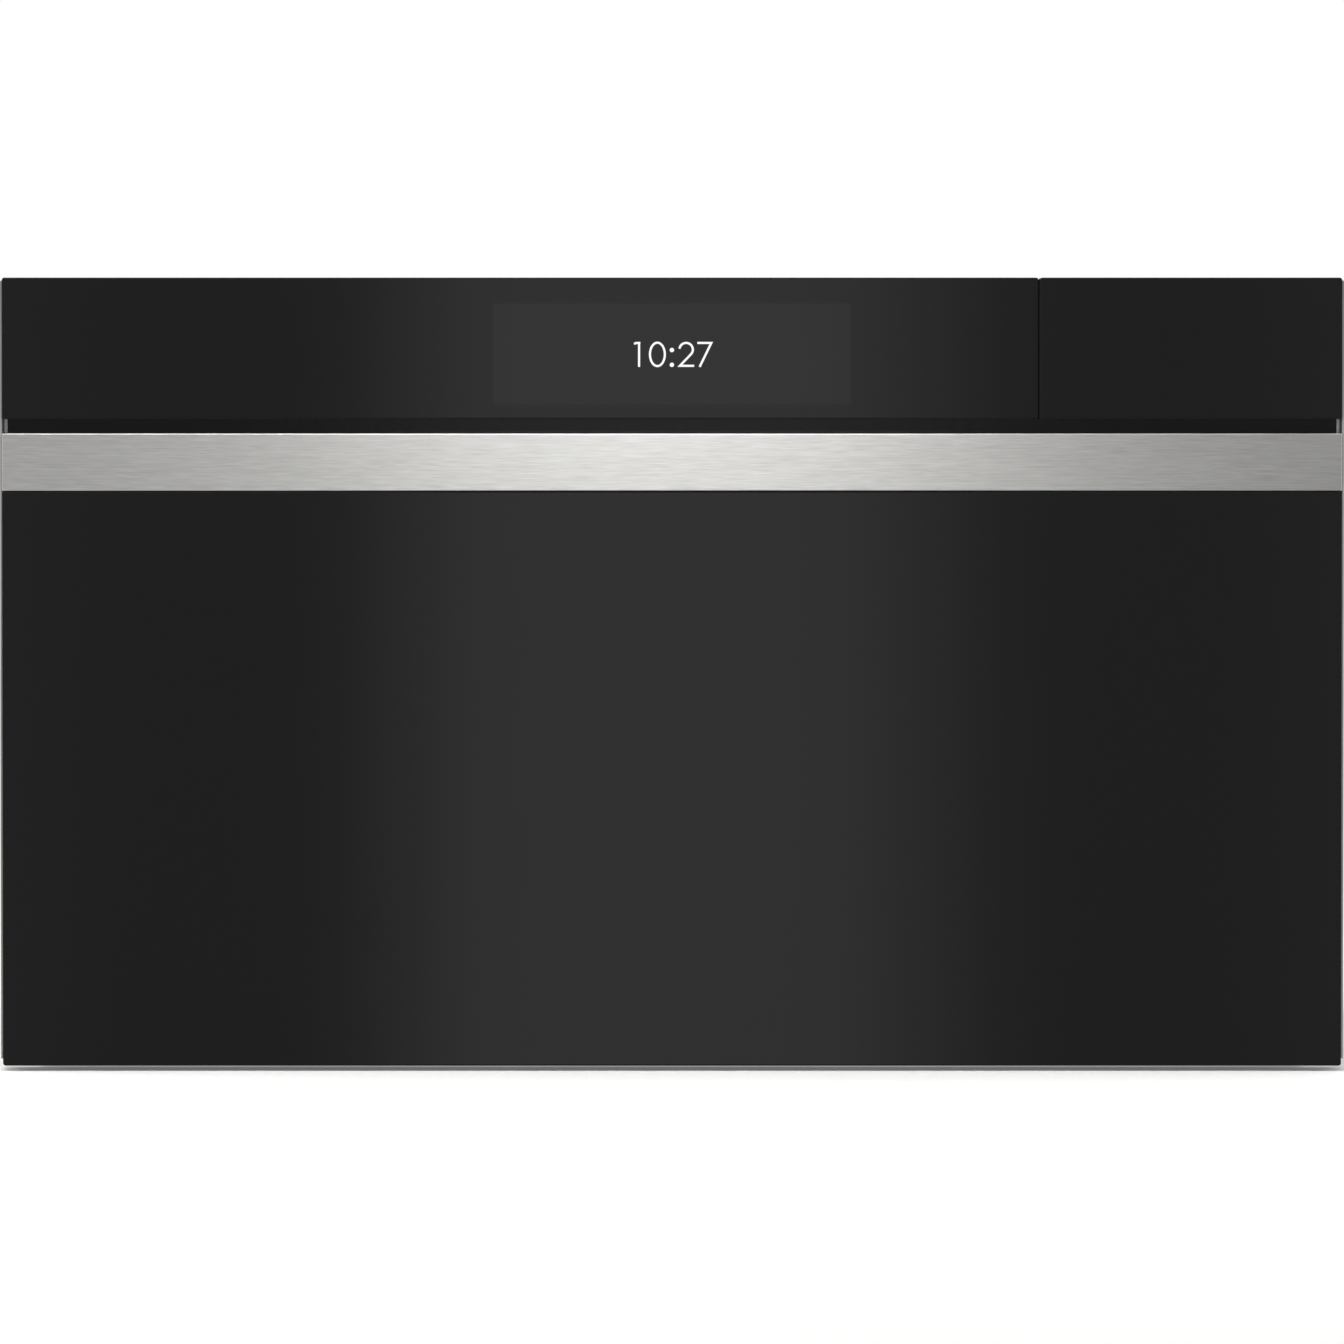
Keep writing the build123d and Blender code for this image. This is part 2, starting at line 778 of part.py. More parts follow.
# Water drawer: one moulding, a hollow front behind the pane and an open tray for the tank
drawer_front_x = (drawer_pane_left_x + carrier_inset, pane_edge_x - carrier_side_inset)
tray_x = (bay_mid_x - tray_width / 2, bay_mid_x + tray_width / 2)
tray_floor_z = bay_floor_z + bay_wall + tray_floor_gap
tray_top_z = tray_floor_z + tray_height
spigot_z = tray_floor_z + tray_wall + spigot_z_rise
with BuildPart() as drawer_tray:
    block(drawer_front_x, (pane_back_y, drawer_front_back_y), (carrier_low_z, carrier_high_z))
    block(
        (drawer_front_x[0] + carrier_wall, drawer_front_x[1] - carrier_wall),
        (pane_back_y, drawer_front_back_y - carrier_wall),
        (carrier_low_z + carrier_wall, carrier_high_z - carrier_wall),
        mode=Mode.SUBTRACT,
    )
    block(tray_x, (drawer_front_back_y, tray_back_y), (tray_floor_z, tray_top_z))
    block(
        (tray_x[0] + tray_wall, tray_x[1] - tray_wall),
        (drawer_front_back_y, tray_back_y - tray_wall),
        (tray_floor_z + tray_wall, tray_top_z),
        mode=Mode.SUBTRACT,
    )
    wire_bar(
        (bay_mid_x, tray_back_y - tray_wall, spigot_z),
        (bay_mid_x, tray_back_y, spigot_z),
        spigot_radius + dock_play,
        spigot_sides,
        Mode.SUBTRACT,
    )
drawer_tray.part.label = "drawer_tray"
export_step(drawer_tray.part, "parts/drawer_tray.step")

# Water drawer: blow-moulded tank with its outlet spigot
tank_x = (tray_x[0] + tray_wall + tank_play, tray_x[1] - tray_wall - tank_play)
tank_front_y = drawer_front_back_y + tray_wall + tank_front_gap
tank_back_y = tray_back_y - tray_wall - tank_back_gap
tank_floor_z = tray_floor_z + tray_wall
tank_top_z = tank_floor_z + tank_height
tank_mid_y = (tank_front_y + tank_back_y) / 2
tank_width = tank_x[1] - tank_x[0]
tank_length = tank_back_y - tank_front_y
with BuildPart() as water_tank:
    with BuildSketch(Plane.XY.offset(tank_floor_z)):
        with Locations((bay_mid_x, tank_mid_y)):
            RectangleRounded(tank_width, tank_length, tank_corner)
    extrude(amount=tank_height)
    with BuildSketch(Plane.XY.offset(tank_floor_z + tank_wall)):
        with Locations((bay_mid_x, tank_mid_y)):
            RectangleRounded(
                tank_width - 2 * tank_wall,
                tank_length - 2 * tank_wall,
                tank_corner - tank_wall,
            )
    extrude(amount=tank_height, mode=Mode.SUBTRACT)
    wire_bar(
        (bay_mid_x, tank_back_y - tank_wall, spigot_z),
        (bay_mid_x, tank_back_y + spigot_length, spigot_z),
        spigot_radius,
        spigot_sides,
    )
    wire_bar(
        (bay_mid_x, tank_back_y - tank_wall, spigot_z),
        (bay_mid_x, tank_back_y + spigot_length, spigot_z),
        spigot_radius - tank_wall,
        spigot_sides,
        Mode.SUBTRACT,
    )
water_tank.part.label = "water_tank"
export_step(water_tank.part, "parts/water_tank.step")

# Water drawer: tank lid with its filling mouth
with BuildPart() as tank_lid:
    with BuildSketch(Plane.XY.offset(tank_top_z)):
        with Locations((bay_mid_x, tank_mid_y)):
            RectangleRounded(tank_width, tank_length, tank_corner)
        with Locations((bay_mid_x, tank_front_y + filler_length)):
            RectangleRounded(filler_width, filler_length, tank_corner, mode=Mode.SUBTRACT)
    extrude(amount=tank_lid_height)
tank_lid.part.label = "tank_lid"
export_step(tank_lid.part, "parts/tank_lid.step")

# Water drawer bay: sheet tunnel whose sides run down to the shelf
with BuildPart() as drawer_bay:
    block(
        (bay_outer_left_x, bay_outer_right_x),
        (frame_back_y, bay_back_y),
        (shelf_top_z, bay_roof_z),
    )
    block(
        (bay_left_x, bay_right_x),
        (frame_back_y, bay_back_y - bay_wall),
        (bay_floor_z + bay_wall, bay_roof_z - bay_wall),
        mode=Mode.SUBTRACT,
    )
    block(
        (bay_left_x, bay_right_x),
        (frame_back_y, bay_back_y),
        (shelf_top_z, bay_floor_z),
        mode=Mode.SUBTRACT,
    )
    wire_bar(
        (bay_mid_x, bay_back_y - bay_wall, spigot_z),
        (bay_mid_x, bay_back_y, spigot_z),
        spigot_radius,
        spigot_sides,
        Mode.SUBTRACT,
    )
drawer_bay.part.label = "drawer_bay"
export_step(drawer_bay.part, "parts/drawer_bay.step")

# Water drawer bay: dock valve that takes the tank's spigot and feeds the pump
spigot_end_y = tank_back_y + spigot_length
dock_front_y = spigot_end_y - dock_overlap
dock_end_play = 3.0
dock_hose_length = 16.0
with BuildPart() as dock_valve:
    wire_bar(
        (bay_mid_x, dock_front_y, spigot_z),
        (bay_mid_x, bay_back_y - bay_wall, spigot_z),
        dock_radius,
        spigot_sides,
    )
    wire_bar(
        (bay_mid_x, bay_back_y - bay_wall, spigot_z),
        (bay_mid_x, bay_back_y + dock_hose_length, spigot_z),
        spigot_radius - tank_wall,
    )
    wire_bar(
        (bay_mid_x, dock_front_y, spigot_z),
        (bay_mid_x, spigot_end_y + dock_end_play, spigot_z),
        spigot_radius + dock_play,
        spigot_sides,
        Mode.SUBTRACT,
    )
dock_valve.part.label = "dock_valve"
export_step(dock_valve.part, "parts/dock_valve.step")

# Water drawer slides: three nested channels on each side, outer one on the bay wall
rail_pack = (bay_inner_width - tray_width) / 2
rail_mid_z = tray_floor_z + rail_z_rise
rail_y = (frame_back_y + rail_play, frame_back_y + rail_play + rail_length)
middle_half_height = rail_half_height - rail_gauge - rail_play
inner_half_height = middle_half_height - rail_gauge - rail_play
middle_web = rail_gauge + rail_play
middle_reach = rail_flange_reach + rail_play
inner_reach = middle_web + rail_gauge + rail_play


def slide_channel(side, web, tip, half_height):
    """Channel section on one side of the bay; web and tip are measured in from its wall."""
    wall_x = bay_mid_x + side * bay_inner_width / 2
    web_inner = web + math.copysign(rail_gauge, tip - web)
    outline = [
        (web, -half_height),
        (tip, -half_height),
        (tip, -half_height + rail_gauge),
        (web_inner, -half_height + rail_gauge),
        (web_inner, half_height - rail_gauge),
        (tip, half_height - rail_gauge),
        (tip, half_height),
        (web, half_height),
    ]
    profile_along_y([(wall_x - side * u, rail_mid_z + v) for u, v in outline], rail_y)


with BuildPart() as slides_outer:
    for side in HANDS.values():
        slide_channel(side, 0, rail_flange_reach, rail_half_height)
slides_outer.part.label = "slides_outer"
export_step(slides_outer.part, "parts/slides_outer.step")

with BuildPart() as slides_middle:
    for side in HANDS.values():
        slide_channel(side, middle_web, middle_reach, middle_half_height)
slides_middle.part.label = "slides_middle"
export_step(slides_middle.part, "parts/slides_middle.step")

with BuildPart() as slides_inner:
    for side in HANDS.values():
        slide_channel(side, rail_pack, inner_reach, inner_half_height)
slides_inner.part.label = "slides_inner"
export_step(slides_inner.part, "parts/slides_inner.step")

# Cavity: seamless stainless box with a flange round its mouth
shaft_hole_radius = 7.0
shaft_hole_sides = 12
lamp_y = baffle_y - 60.0
lamp_z = cavity_top_z - 55.0
lamp_length = 60.0
lamp_height = 40.0
steam_y = baffle_y + 18.0
steam_z = cavity_mid_z + 70.0
steam_radius = 4.0
steam_stub_length = 34.0
probe_z = cavity_top_z - 30.0
probe_radius = 3.0
probe_hole_play = 0.3
drain_y = baffle_y - 90.0
drain_radius = 20.0
drain_sides = 12
drain_play = 0.3
drain_depth = 12.0
vent_x = 60.0
vent_y = baffle_y - 55.0
vent_width = 60.0
vent_length = 40.0
cavity_shell_x = cavity_side_x + sheet
steam_stub_x = cavity_shell_x + steam_stub_length
flange_low_z = cavity_floor_z - cavity_flange
flange_high_z = cavity_top_z + cavity_flange
flange_back_y = frame_back_y + sheet
with BuildPart() as cavity:
    block(
        (-cavity_shell_x, cavity_shell_x),
        (frame_back_y, cavity_back_y + sheet),
        (cavity_floor_z - sheet, cavity_top_z + sheet),
    )
    fillet(cavity.edges().filter_by(Axis.Y), cavity_corner + sheet)
    with BuildSketch(Plane.XZ.offset(-frame_back_y)) as flange_sketch:
        with Locations((0, cavity_mid_z)):
            RectangleRounded(
                cavity_width + 2 * cavity_flange,
                flange_high_z - flange_low_z,
                cavity_corner + cavity_flange,
            )
    extrude(flange_sketch.sketch, amount=-sheet)
    with BuildSketch(Plane.XZ.offset(-frame_back_y)) as hollow:
        with Locations((0, cavity_mid_z)):
            RectangleRounded(cavity_width, cavity_height, cavity_corner)
    extrude(hollow.sketch, amount=-(cavity_back_y - frame_back_y), mode=Mode.SUBTRACT)
    wire_bar(
        (cavity_side_x, steam_y, steam_z),
        (steam_stub_x, steam_y, steam_z),
        steam_radius + sheet,
    )
    wire_bar(
        (cavity_side_x, steam_y, steam_z),
        (steam_stub_x, steam_y, steam_z),
        steam_radius,
        mode=Mode.SUBTRACT,
    )
    wire_bar(
        (0, cavity_back_y, cavity_mid_z),
        (0, cavity_back_y + sheet, cavity_mid_z),
        shaft_hole_radius,
        shaft_hole_sides,
        Mode.SUBTRACT,
    )
    block(
        (-cavity_shell_x, -cavity_side_x),
        (lamp_y - lamp_length / 2, lamp_y + lamp_length / 2),
        (lamp_z - lamp_height / 2, lamp_z + lamp_height / 2),
        mode=Mode.SUBTRACT,
    )
    wire_bar(
        (cavity_side_x, lamp_y, probe_z),
        (cavity_shell_x, lamp_y, probe_z),
        probe_radius + probe_hole_play,
        mode=Mode.SUBTRACT,
    )
    wire_bar(
        (0, drain_y, cavity_floor_z - sheet),
        (0, drain_y, cavity_floor_z),
        drain_radius,
        drain_sides,
        Mode.SUBTRACT,
    )
    block(
        (vent_x - vent_width / 2, vent_x + vent_width / 2),
        (vent_y - vent_length / 2, vent_y + vent_length / 2),
        (cavity_top_z, cavity_top_z + sheet),
        mode=Mode.SUBTRACT,
    )
cavity.part.label = "cavity"
export_step(cavity.part, "parts/cavity.step")

# Door gasket: silicone ring seated on the cavity flange
gasket_inner_x = cavity_side_x + gasket_inset
gasket_inner_half_z = cavity_height / 2 + gasket_inset
gasket_front_y = door_back_y + gasket_door_gap
with BuildPart() as door_gasket:
    with BuildSketch(Plane.XZ.offset(-frame_back_y)) as ring:
        with Locations((0, cavity_mid_z)):
            RectangleRounded(
                2 * (gasket_inner_x + gasket_width),
                2 * (gasket_inner_half_z + gasket_width),
                cavity_corner + gasket_inset + gasket_width,
            )
            RectangleRounded(
                2 * gasket_inner_x,
                2 * gasket_inner_half_z,
                cavity_corner + gasket_inset,
                mode=Mode.SUBTRACT,
            )
    extrude(ring.sketch, amount=frame_back_y - gasket_front_y)
door_gasket.part.label = "door_gasket"
export_step(door_gasket.part, "parts/door_gasket.step")

# Rear baffle: pressed stainless cover over the fan, with an inlet grille and side slots
baffle_edge_gap = 0.3
baffle_turn = 12.0
inlet_ring_radii = (30.0, 56.0)
inlet_ring_counts = (8, 14)
inlet_slot_length = 20.0
inlet_slot_width = 4.0
outlet_slot_length = 42.0
outlet_slot_width = 6.0
outlet_rows = 4
outlet_pitch = 54.0
outlet_inset = 24.0
baffle_width = cavity_width - 2 * baffle_edge_gap
baffle_height = cavity_height - 2 * baffle_edge_gap
with BuildPart() as rear_baffle:
    with BuildSketch(Plane.XZ.offset(-baffle_y)) as cover:
        with Locations((0, cavity_mid_z)):
            RectangleRounded(baffle_width, baffle_height, cavity_corner)
            for ring_radius, ring_count in zip(inlet_ring_radii, inlet_ring_counts):
                with PolarLocations(ring_radius, ring_count, start_angle=90 / ring_count):
                    Rectangle(inlet_slot_length, inlet_slot_width, mode=Mode.SUBTRACT)
            for edge in (-1, 1):
                with Locations((edge * (baffle_width / 2 - outlet_inset), 0)):
                    with GridLocations(0, outlet_pitch, 1, outlet_rows):
                        Rectangle(outlet_slot_width, outlet_slot_length, mode=Mode.SUBTRACT)
    extrude(cover.sketch, amount=-sheet)
    with BuildSketch(Plane.XZ.offset(-baffle_y - sheet)) as rim:
        with Locations((0, cavity_mid_z)):
            RectangleRounded(baffle_width, baffle_height, cavity_corner)
            RectangleRounded(
                baffle_width - 2 * sheet,
                baffle_height - 2 * sheet,
                cavity_corner - sheet,
                mode=Mode.SUBTRACT,
            )
    extrude(rim.sketch, amount=-baffle_turn)
rear_baffle.part.label = "rear_baffle"
export_step(rear_baffle.part, "parts/rear_baffle.step")

# Rack guides: bent wire ladders, one solid each side, on studs in the cavity wall
guide_wire = 2.0
guide_post_wire = 2.5
guide_stud = 6.0
guide_sides = 4
guide_levels = 3
guide_first_z = cavity_floor_z + 38.0
guide_pitch = 62.0
guide_pair = 10.0
guide_front_y = frame_back_y + 24.0
guide_back_y = baffle_y - 22.0
guide_low_z = cavity_floor_z + 20.0
guide_high_z = cavity_top_z - 26.0
guide_post_x = cavity_side_x - guide_stud
guide_rail_x = guide_post_x - guide_wire
with BuildPart() as rack_guides:
    for side in HANDS.values():
        post_x = side * guide_post_x
        for post_y in (guide_front_y, guide_back_y):
            wire_bar(
                (post_x, post_y, guide_low_z),
                (post_x, post_y, guide_high_z),
                guide_post_wire,
                guide_sides,
            )
        for level in range(guide_levels):
            level_z = guide_first_z + level * guide_pitch
            for wire_z in (level_z, level_z + guide_pair):
                wire_bar(
                    (side * guide_rail_x, guide_front_y - guide_pair, wire_z),
                    (side * guide_rail_x, guide_back_y + guide_pair, wire_z),
                    guide_wire,
                    guide_sides,
                )
        for stud_y in (guide_front_y, guide_back_y):
            for stud_z in (guide_low_z + guide_pair, guide_high_z - guide_pair):
                wire_bar(
                    (side * cavity_side_x, stud_y, stud_z),
                    (post_x, stud_y, stud_z),
                    guide_post_wire,
                    guide_sides,
                )
rack_guides.part.label = "rack_guides"
export_step(rack_guides.part, "parts/rack_guides.step")

# Wire rack: welded frame and cross wires, resting on the second pair of guide wires
rack_level = 1
rack_play = 1.5
rack_frame_wire = 3.0
rack_cross_wire = 1.5
rack_cross_pitch = 28.0
rack_half_x = guide_rail_x - guide_wire - rack_play
rack_z = guide_first_z + rack_level * guide_pitch + guide_wire + rack_frame_wire
rack_front_y = guide_front_y - guide_pair
rack_back_y = guide_back_y
rack_tongue_x = guide_rail_x - rack_play / 2
with BuildPart() as wire_rack:
    for rail_y_place in (rack_front_y, rack_back_y):
        wire_bar(
            (-rack_tongue_x, rail_y_place, rack_z),
            (rack_tongue_x, rail_y_place, rack_z),
            rack_frame_wire,
        )
    for side in HANDS.values():
        wire_bar(
            (side * (rack_half_x - rack_frame_wire), rack_front_y, rack_z),
            (side * (rack_half_x - rack_frame_wire), rack_back_y, rack_z),
            rack_frame_wire,
        )
    cross_count = math.floor(2 * (rack_half_x - 2 * rack_frame_wire) / rack_cross_pitch)
    for index in range(cross_count):
        cross_x = (index - (cross_count - 1) / 2) * rack_cross_pitch
        wire_bar(
            (cross_x, rack_front_y, rack_z),
            (cross_x, rack_back_y, rack_z),
            rack_cross_wire,
        )
wire_rack.part.label = "wire_rack"
export_step(wire_rack.part, "parts/wire_rack.step")

# Oven tray: pressed stainless pan with a flat rim, on the lowest guide wires
pan_depth = 28.0
pan_wall = 1.0
pan_rim = 14.0
pan_corner = 12.0
pan_rim_z = guide_first_z + guide_wire
pan_length = guide_back_y - guide_front_y
pan_mid_y = (guide_front_y + guide_back_y) / 2
pan_half_x = rack_tongue_x
with BuildPart() as oven_tray:
    with BuildSketch(Plane.XY.offset(pan_rim_z)):
        with Locations((0, pan_mid_y)):
            Rectangle(2 * pan_half_x, pan_length)
    extrude(amount=pan_wall)
    with BuildSketch(Plane.XY.offset(pan_rim_z)):
        with Locations((0, pan_mid_y)):
            RectangleRounded(2 * (pan_half_x - pan_rim), pan_length - 2 * pan_rim, pan_corner)
    extrude(amount=-pan_depth)
    with BuildSketch(Plane.XY.offset(pan_rim_z + pan_wall)):
        with Locations((0, pan_mid_y)):
            RectangleRounded(
                2 * (pan_half_x - pan_rim - pan_wall),
                pan_length - 2 * (pan_rim + pan_wall),
                pan_corner - pan_wall,
            )
    extrude(amount=-pan_depth, mode=Mode.SUBTRACT)
oven_tray.part.label = "oven_tray"
export_step(oven_tray.part, "parts/oven_tray.step")

# Convection fan: stamped wheel with curved blades on the motor shaft
fan_radius = 84.0
fan_hub_radius = 16.0
fan_blades = 12
fan_blade_height = 20.0
fan_blade_inner = 46.0
fan_disc = 1.2
fan_motor_gap = 8.0
fan_blade_sag = 7.0
fan_shaft_radius = 4.0
fan_shaft_play = 0.05
fan_disc_y = cavity_back_y - fan_motor_gap
fan_front_y = fan_disc_y - fan_disc - fan_blade_height


def bent_blade(chord, sag, thickness):
    """Thin blade along local X, bent at its middle, that tapers to both its edges."""
    Polygon(
        (-chord / 2, 0),
        (0, sag - thickness),
        (chord / 2, 0),
        (0, sag),
        align=None,
    )


with BuildPart() as convection_fan:
    wire_bar(
        (0, fan_disc_y - fan_disc, cavity_mid_z),
        (0, fan_disc_y, cavity_mid_z),
        fan_radius,
        2 * fan_blades,
    )
    with BuildSketch(Plane.XZ.offset(-fan_disc_y + fan_disc)) as blades:
        with Locations((0, cavity_mid_z)):
            with PolarLocations((fan_radius + fan_blade_inner) / 2 - fan_disc, fan_blades):
                bent_blade(fan_radius - fan_blade_inner, fan_blade_sag, 2 * fan_disc)
    extrude(blades.sketch, amount=fan_blade_height)
    wire_bar(
        (0, fan_front_y + fan_disc, cavity_mid_z),
        (0, fan_disc_y, cavity_mid_z),
        fan_hub_radius,
        fan_blades,
    )
    round_bar(
        (0, fan_front_y + 2 * fan_disc, cavity_mid_z),
        (0, fan_disc_y, cavity_mid_z),
        fan_shaft_radius + fan_shaft_play,
        mode=Mode.SUBTRACT,
    )
convection_fan.part.label = "convection_fan"
export_step(convection_fan.part, "parts/convection_fan.step")

# Convection fan: motor on stand-off feet behind the cavity, its shaft in the wheel
motor_radius = 36.0
motor_bearing_radius = 12.0
motor_foot_radius = 4.0
motor_front_y = cavity_back_y + sheet + motor_standoff
with BuildPart() as fan_motor:
    round_bar(
        (0, motor_front_y, cavity_mid_z),
        (0, motor_front_y + motor_length, cavity_mid_z),
        motor_radius,
    )
    wire_bar(
        (0, motor_front_y - motor_foot_radius, cavity_mid_z),
        (0, motor_front_y, cavity_mid_z),
        motor_bearing_radius,
        shaft_hole_sides,
    )
    round_bar(
        (0, fan_front_y + 3 * fan_disc, cavity_mid_z),
        (0, motor_front_y, cavity_mid_z),
        fan_shaft_radius,
    )
    with BuildSketch(Plane.XZ.offset(-cavity_back_y - sheet)) as feet:
        with Locations((0, cavity_mid_z)):
            with PolarLocations(motor_radius - 2 * motor_foot_radius, 3, start_angle=90):
                RegularPolygon(motor_foot_radius, 6)
    extrude(feet.sketch, amount=-motor_standoff)
fan_motor.part.label = "fan_motor"
export_step(fan_motor.part, "parts/fan_motor.step")

# Ring heater: tubular element round the fan, its ends through the cavity back
heater_radius = 104.0
heater_tube = 3.25
heater_mid_y = (fan_disc_y + fan_front_y) / 2
heater_lead_gap = 28.0
heater_clip = 4.0
with BuildPart() as ring_heater:
    heater_plane = Plane((0, heater_mid_y, cavity_mid_z), x_dir=(1, 0, 0), z_dir=(0, -1, 0))
    with BuildLine(heater_plane) as heater_line:
        half_gap = math.degrees(math.asin(heater_lead_gap / 2 / heater_radius))
        CenterArc((0, 0), heater_radius, -90 + half_gap, 360 - 2 * half_gap)
    with BuildSketch(Plane(heater_line.line @ 0, z_dir=heater_line.line % 0)):
        RegularPolygon(heater_tube, 4)
    sweep(path=heater_line.line)
    for side in HANDS.values():
        lead_x = side * heater_lead_gap / 2
        lead_z = cavity_mid_z - math.sqrt(heater_radius**2 - (heater_lead_gap / 2) ** 2)
        wire_bar(
            (lead_x, heater_mid_y - heater_tube, lead_z),
            (lead_x, cavity_back_y, lead_z),
            heater_tube,
        )
        wire_bar(
            (lead_x, cavity_back_y - heater_clip, lead_z),
            (lead_x, cavity_back_y, lead_z),
            2 * heater_tube,
        )
ring_heater.part.label = "ring_heater"
export_step(ring_heater.part, "parts/ring_heater.step")

# Cavity lamp: glass cover inside the left wall and socket outside it
lamp_cover = 3.0
lamp_body_depth = 18.0
lamp_play = 0.3
with BuildPart() as cavity_lamp:
    block(
        (-cavity_shell_x, -cavity_side_x + lamp_cover),
        (lamp_y - lamp_length / 2 + lamp_play, lamp_y + lamp_length / 2 - lamp_play),
        (lamp_z - lamp_height / 2 + lamp_play, lamp_z + lamp_height / 2 - lamp_play),
    )
    chamfer(cavity_lamp.faces().sort_by(Axis.X)[-1].edges(), lamp_cover / 2)
    block(
        (-cavity_shell_x - lamp_body_depth, -cavity_shell_x),
        (lamp_y - lamp_length / 2, lamp_y + lamp_length / 2),
        (lamp_z - lamp_height / 2, lamp_z + lamp_height / 2),
    )
cavity_lamp.part.label = "cavity_lamp"
export_step(cavity_lamp.part, "parts/cavity_lamp.step")

# Temperature probe in the right wall
probe_length = 30.0
probe_collar = 6.0
with BuildPart() as temperature_probe:
    wire_bar(
        (cavity_side_x - probe_length, lamp_y, probe_z),
        (cavity_shell_x, lamp_y, probe_z),
        probe_radius,
    )
    wire_bar(
        (cavity_shell_x, lamp_y, probe_z),
        (cavity_shell_x + probe_collar, lamp_y, probe_z),
        probe_collar,
    )
temperature_probe.part.label = "temperature_probe"
export_step(temperature_probe.part, "parts/temperature_probe.step")

# Drain sieve in the cavity floor, over a cup under it
with BuildPart() as drain_sieve:
    wire_bar(
        (0, drain_y, cavity_floor_z - sheet - drain_depth),
        (0, drain_y, cavity_floor_z),
        drain_radius - drain_play,
        drain_sides,
    )
    wire_bar(
        (0, drain_y, cavity_floor_z - drain_depth),
        (0, drain_y, cavity_floor_z - sheet),
        drain_radius - 2 * sheet,
        drain_sides,
        Mode.SUBTRACT,
    )
    with BuildSketch(Plane.XY.offset(cavity_floor_z)) as sieve_holes:
        with Locations((0, drain_y)):
            with PolarLocations(drain_radius / 2, 6):
                RegularPolygon(2 * sheet, 6)
    extrude(sieve_holes.sketch, amount=-sheet, mode=Mode.SUBTRACT)
drain_sieve.part.label = "drain_sieve"
export_step(drain_sieve.part, "parts/drain_sieve.step")

# Insulation: mineral wool jacket round the cavity, cut out for what passes through it
wool_x = cavity_shell_x + insulation_thickness
wool_low_z = cavity_floor_z - sheet - insulation_thickness
wool_high_z = cavity_top_z + sheet + insulation_thickness
wool_back_y = cavity_back_y + sheet + insulation_thickness
motor_hole_play = 4.0
with BuildPart() as insulation:
    block((-wool_x, wool_x), (flange_back_y, wool_back_y), (wool_low_z, wool_high_z))
    with BuildSketch(Plane.XZ.offset(-flange_back_y)) as cavity_hole:
        with Locations((0, cavity_mid_z)):
            RectangleRounded(
                cavity_width + 2 * sheet,
                cavity_height + 2 * sheet,
                cavity_corner + sheet,
            )
    extrude(cavity_hole.sketch, amount=-(cavity_back_y + sheet - flange_back_y), mode=Mode.SUBTRACT)
    round_bar(
        (0, cavity_back_y, cavity_mid_z),
        (0, wool_back_y, cavity_mid_z),
        motor_radius + motor_hole_play,
        Mode.SUBTRACT,
    )
    for hole_x, hole_y, hole_z, half in (
        ((-wool_x, -cavity_side_x), lamp_y, lamp_z, lamp_length / 2),
        ((cavity_side_x, wool_x), steam_y, steam_z, steam_radius + sheet),
        ((cavity_side_x, wool_x), lamp_y, probe_z, probe_collar),
    ):
        block(
            hole_x,
            (hole_y - half, hole_y + half),
            (hole_z - half, hole_z + half),
            mode=Mode.SUBTRACT,
        )
    block(
        (-drain_radius, drain_radius),
        (drain_y - drain_radius, drain_y + drain_radius),
        (wool_low_z, cavity_floor_z),
        mode=Mode.SUBTRACT,
    )
    block(
        (vent_x - vent_width / 2, vent_x + vent_width / 2),
        (vent_y - vent_length / 2, vent_y + vent_length / 2),
        (cavity_top_z, wool_high_z),
        mode=Mode.SUBTRACT,
    )
insulation.part.label = "insulation"
export_step(insulation.part, "parts/insulation.step")

# Shelf over the cavity that carries the machinery, with flanges turned down at its sides
shelf_side_x = body_side_x - sheet
shelf_turn = 12.0
inner_back_y = rear_y - sheet
feed_radius = 5.0
feed_hole_play = 3.0
pump_radius = 22.0
pump_length = 58.0
pump_y = bay_back_y + dock_hose_length
pump_back_y = pump_y + pump_length
pump_nipple = 12.0
feed_run = 40.0
steam_run = 34.2
boiler_y = steam_y - steam_run
boiler_height = 200.0
boiler_flange = 3.0
boiler_nipple = 14.0
feed_turn_y = boiler_y + boiler_radius + boiler_nipple + feed_run
boiler_inlet_z = 60.0
feed_share = (spigot_z - shelf_top_z) / (spigot_z - boiler_inlet_z)
feed_hole_x = bay_mid_x + feed_share * (boiler_x - bay_mid_x)
with BuildPart() as machine_shelf:
    profile_along_y(
        [
            (-shelf_side_x, shelf_top_z),
            (shelf_side_x, shelf_top_z),
            (shelf_side_x, shelf_top_z - shelf_turn),
            (shelf_side_x - sheet, shelf_top_z - shelf_turn),
            (shelf_side_x - sheet, shelf_z),
            (-shelf_side_x + sheet, shelf_z),
            (-shelf_side_x + sheet, shelf_top_z - shelf_turn),
            (-shelf_side_x, shelf_top_z - shelf_turn),
        ],
        (frame_back_y, inner_back_y),
    )
    block(
        (vent_x - vent_width / 2, vent_x + vent_width / 2),
        (vent_y - vent_length / 2, vent_y + vent_length / 2),
        (shelf_z, shelf_top_z),
        mode=Mode.SUBTRACT,
    )
    wire_bar(
        (feed_hole_x, feed_turn_y, shelf_z),
        (feed_hole_x, feed_turn_y, shelf_top_z),
        feed_radius + feed_hole_play,
        mode=Mode.SUBTRACT,
    )
machine_shelf.part.label = "machine_shelf"
export_step(machine_shelf.part, "parts/machine_shelf.step")

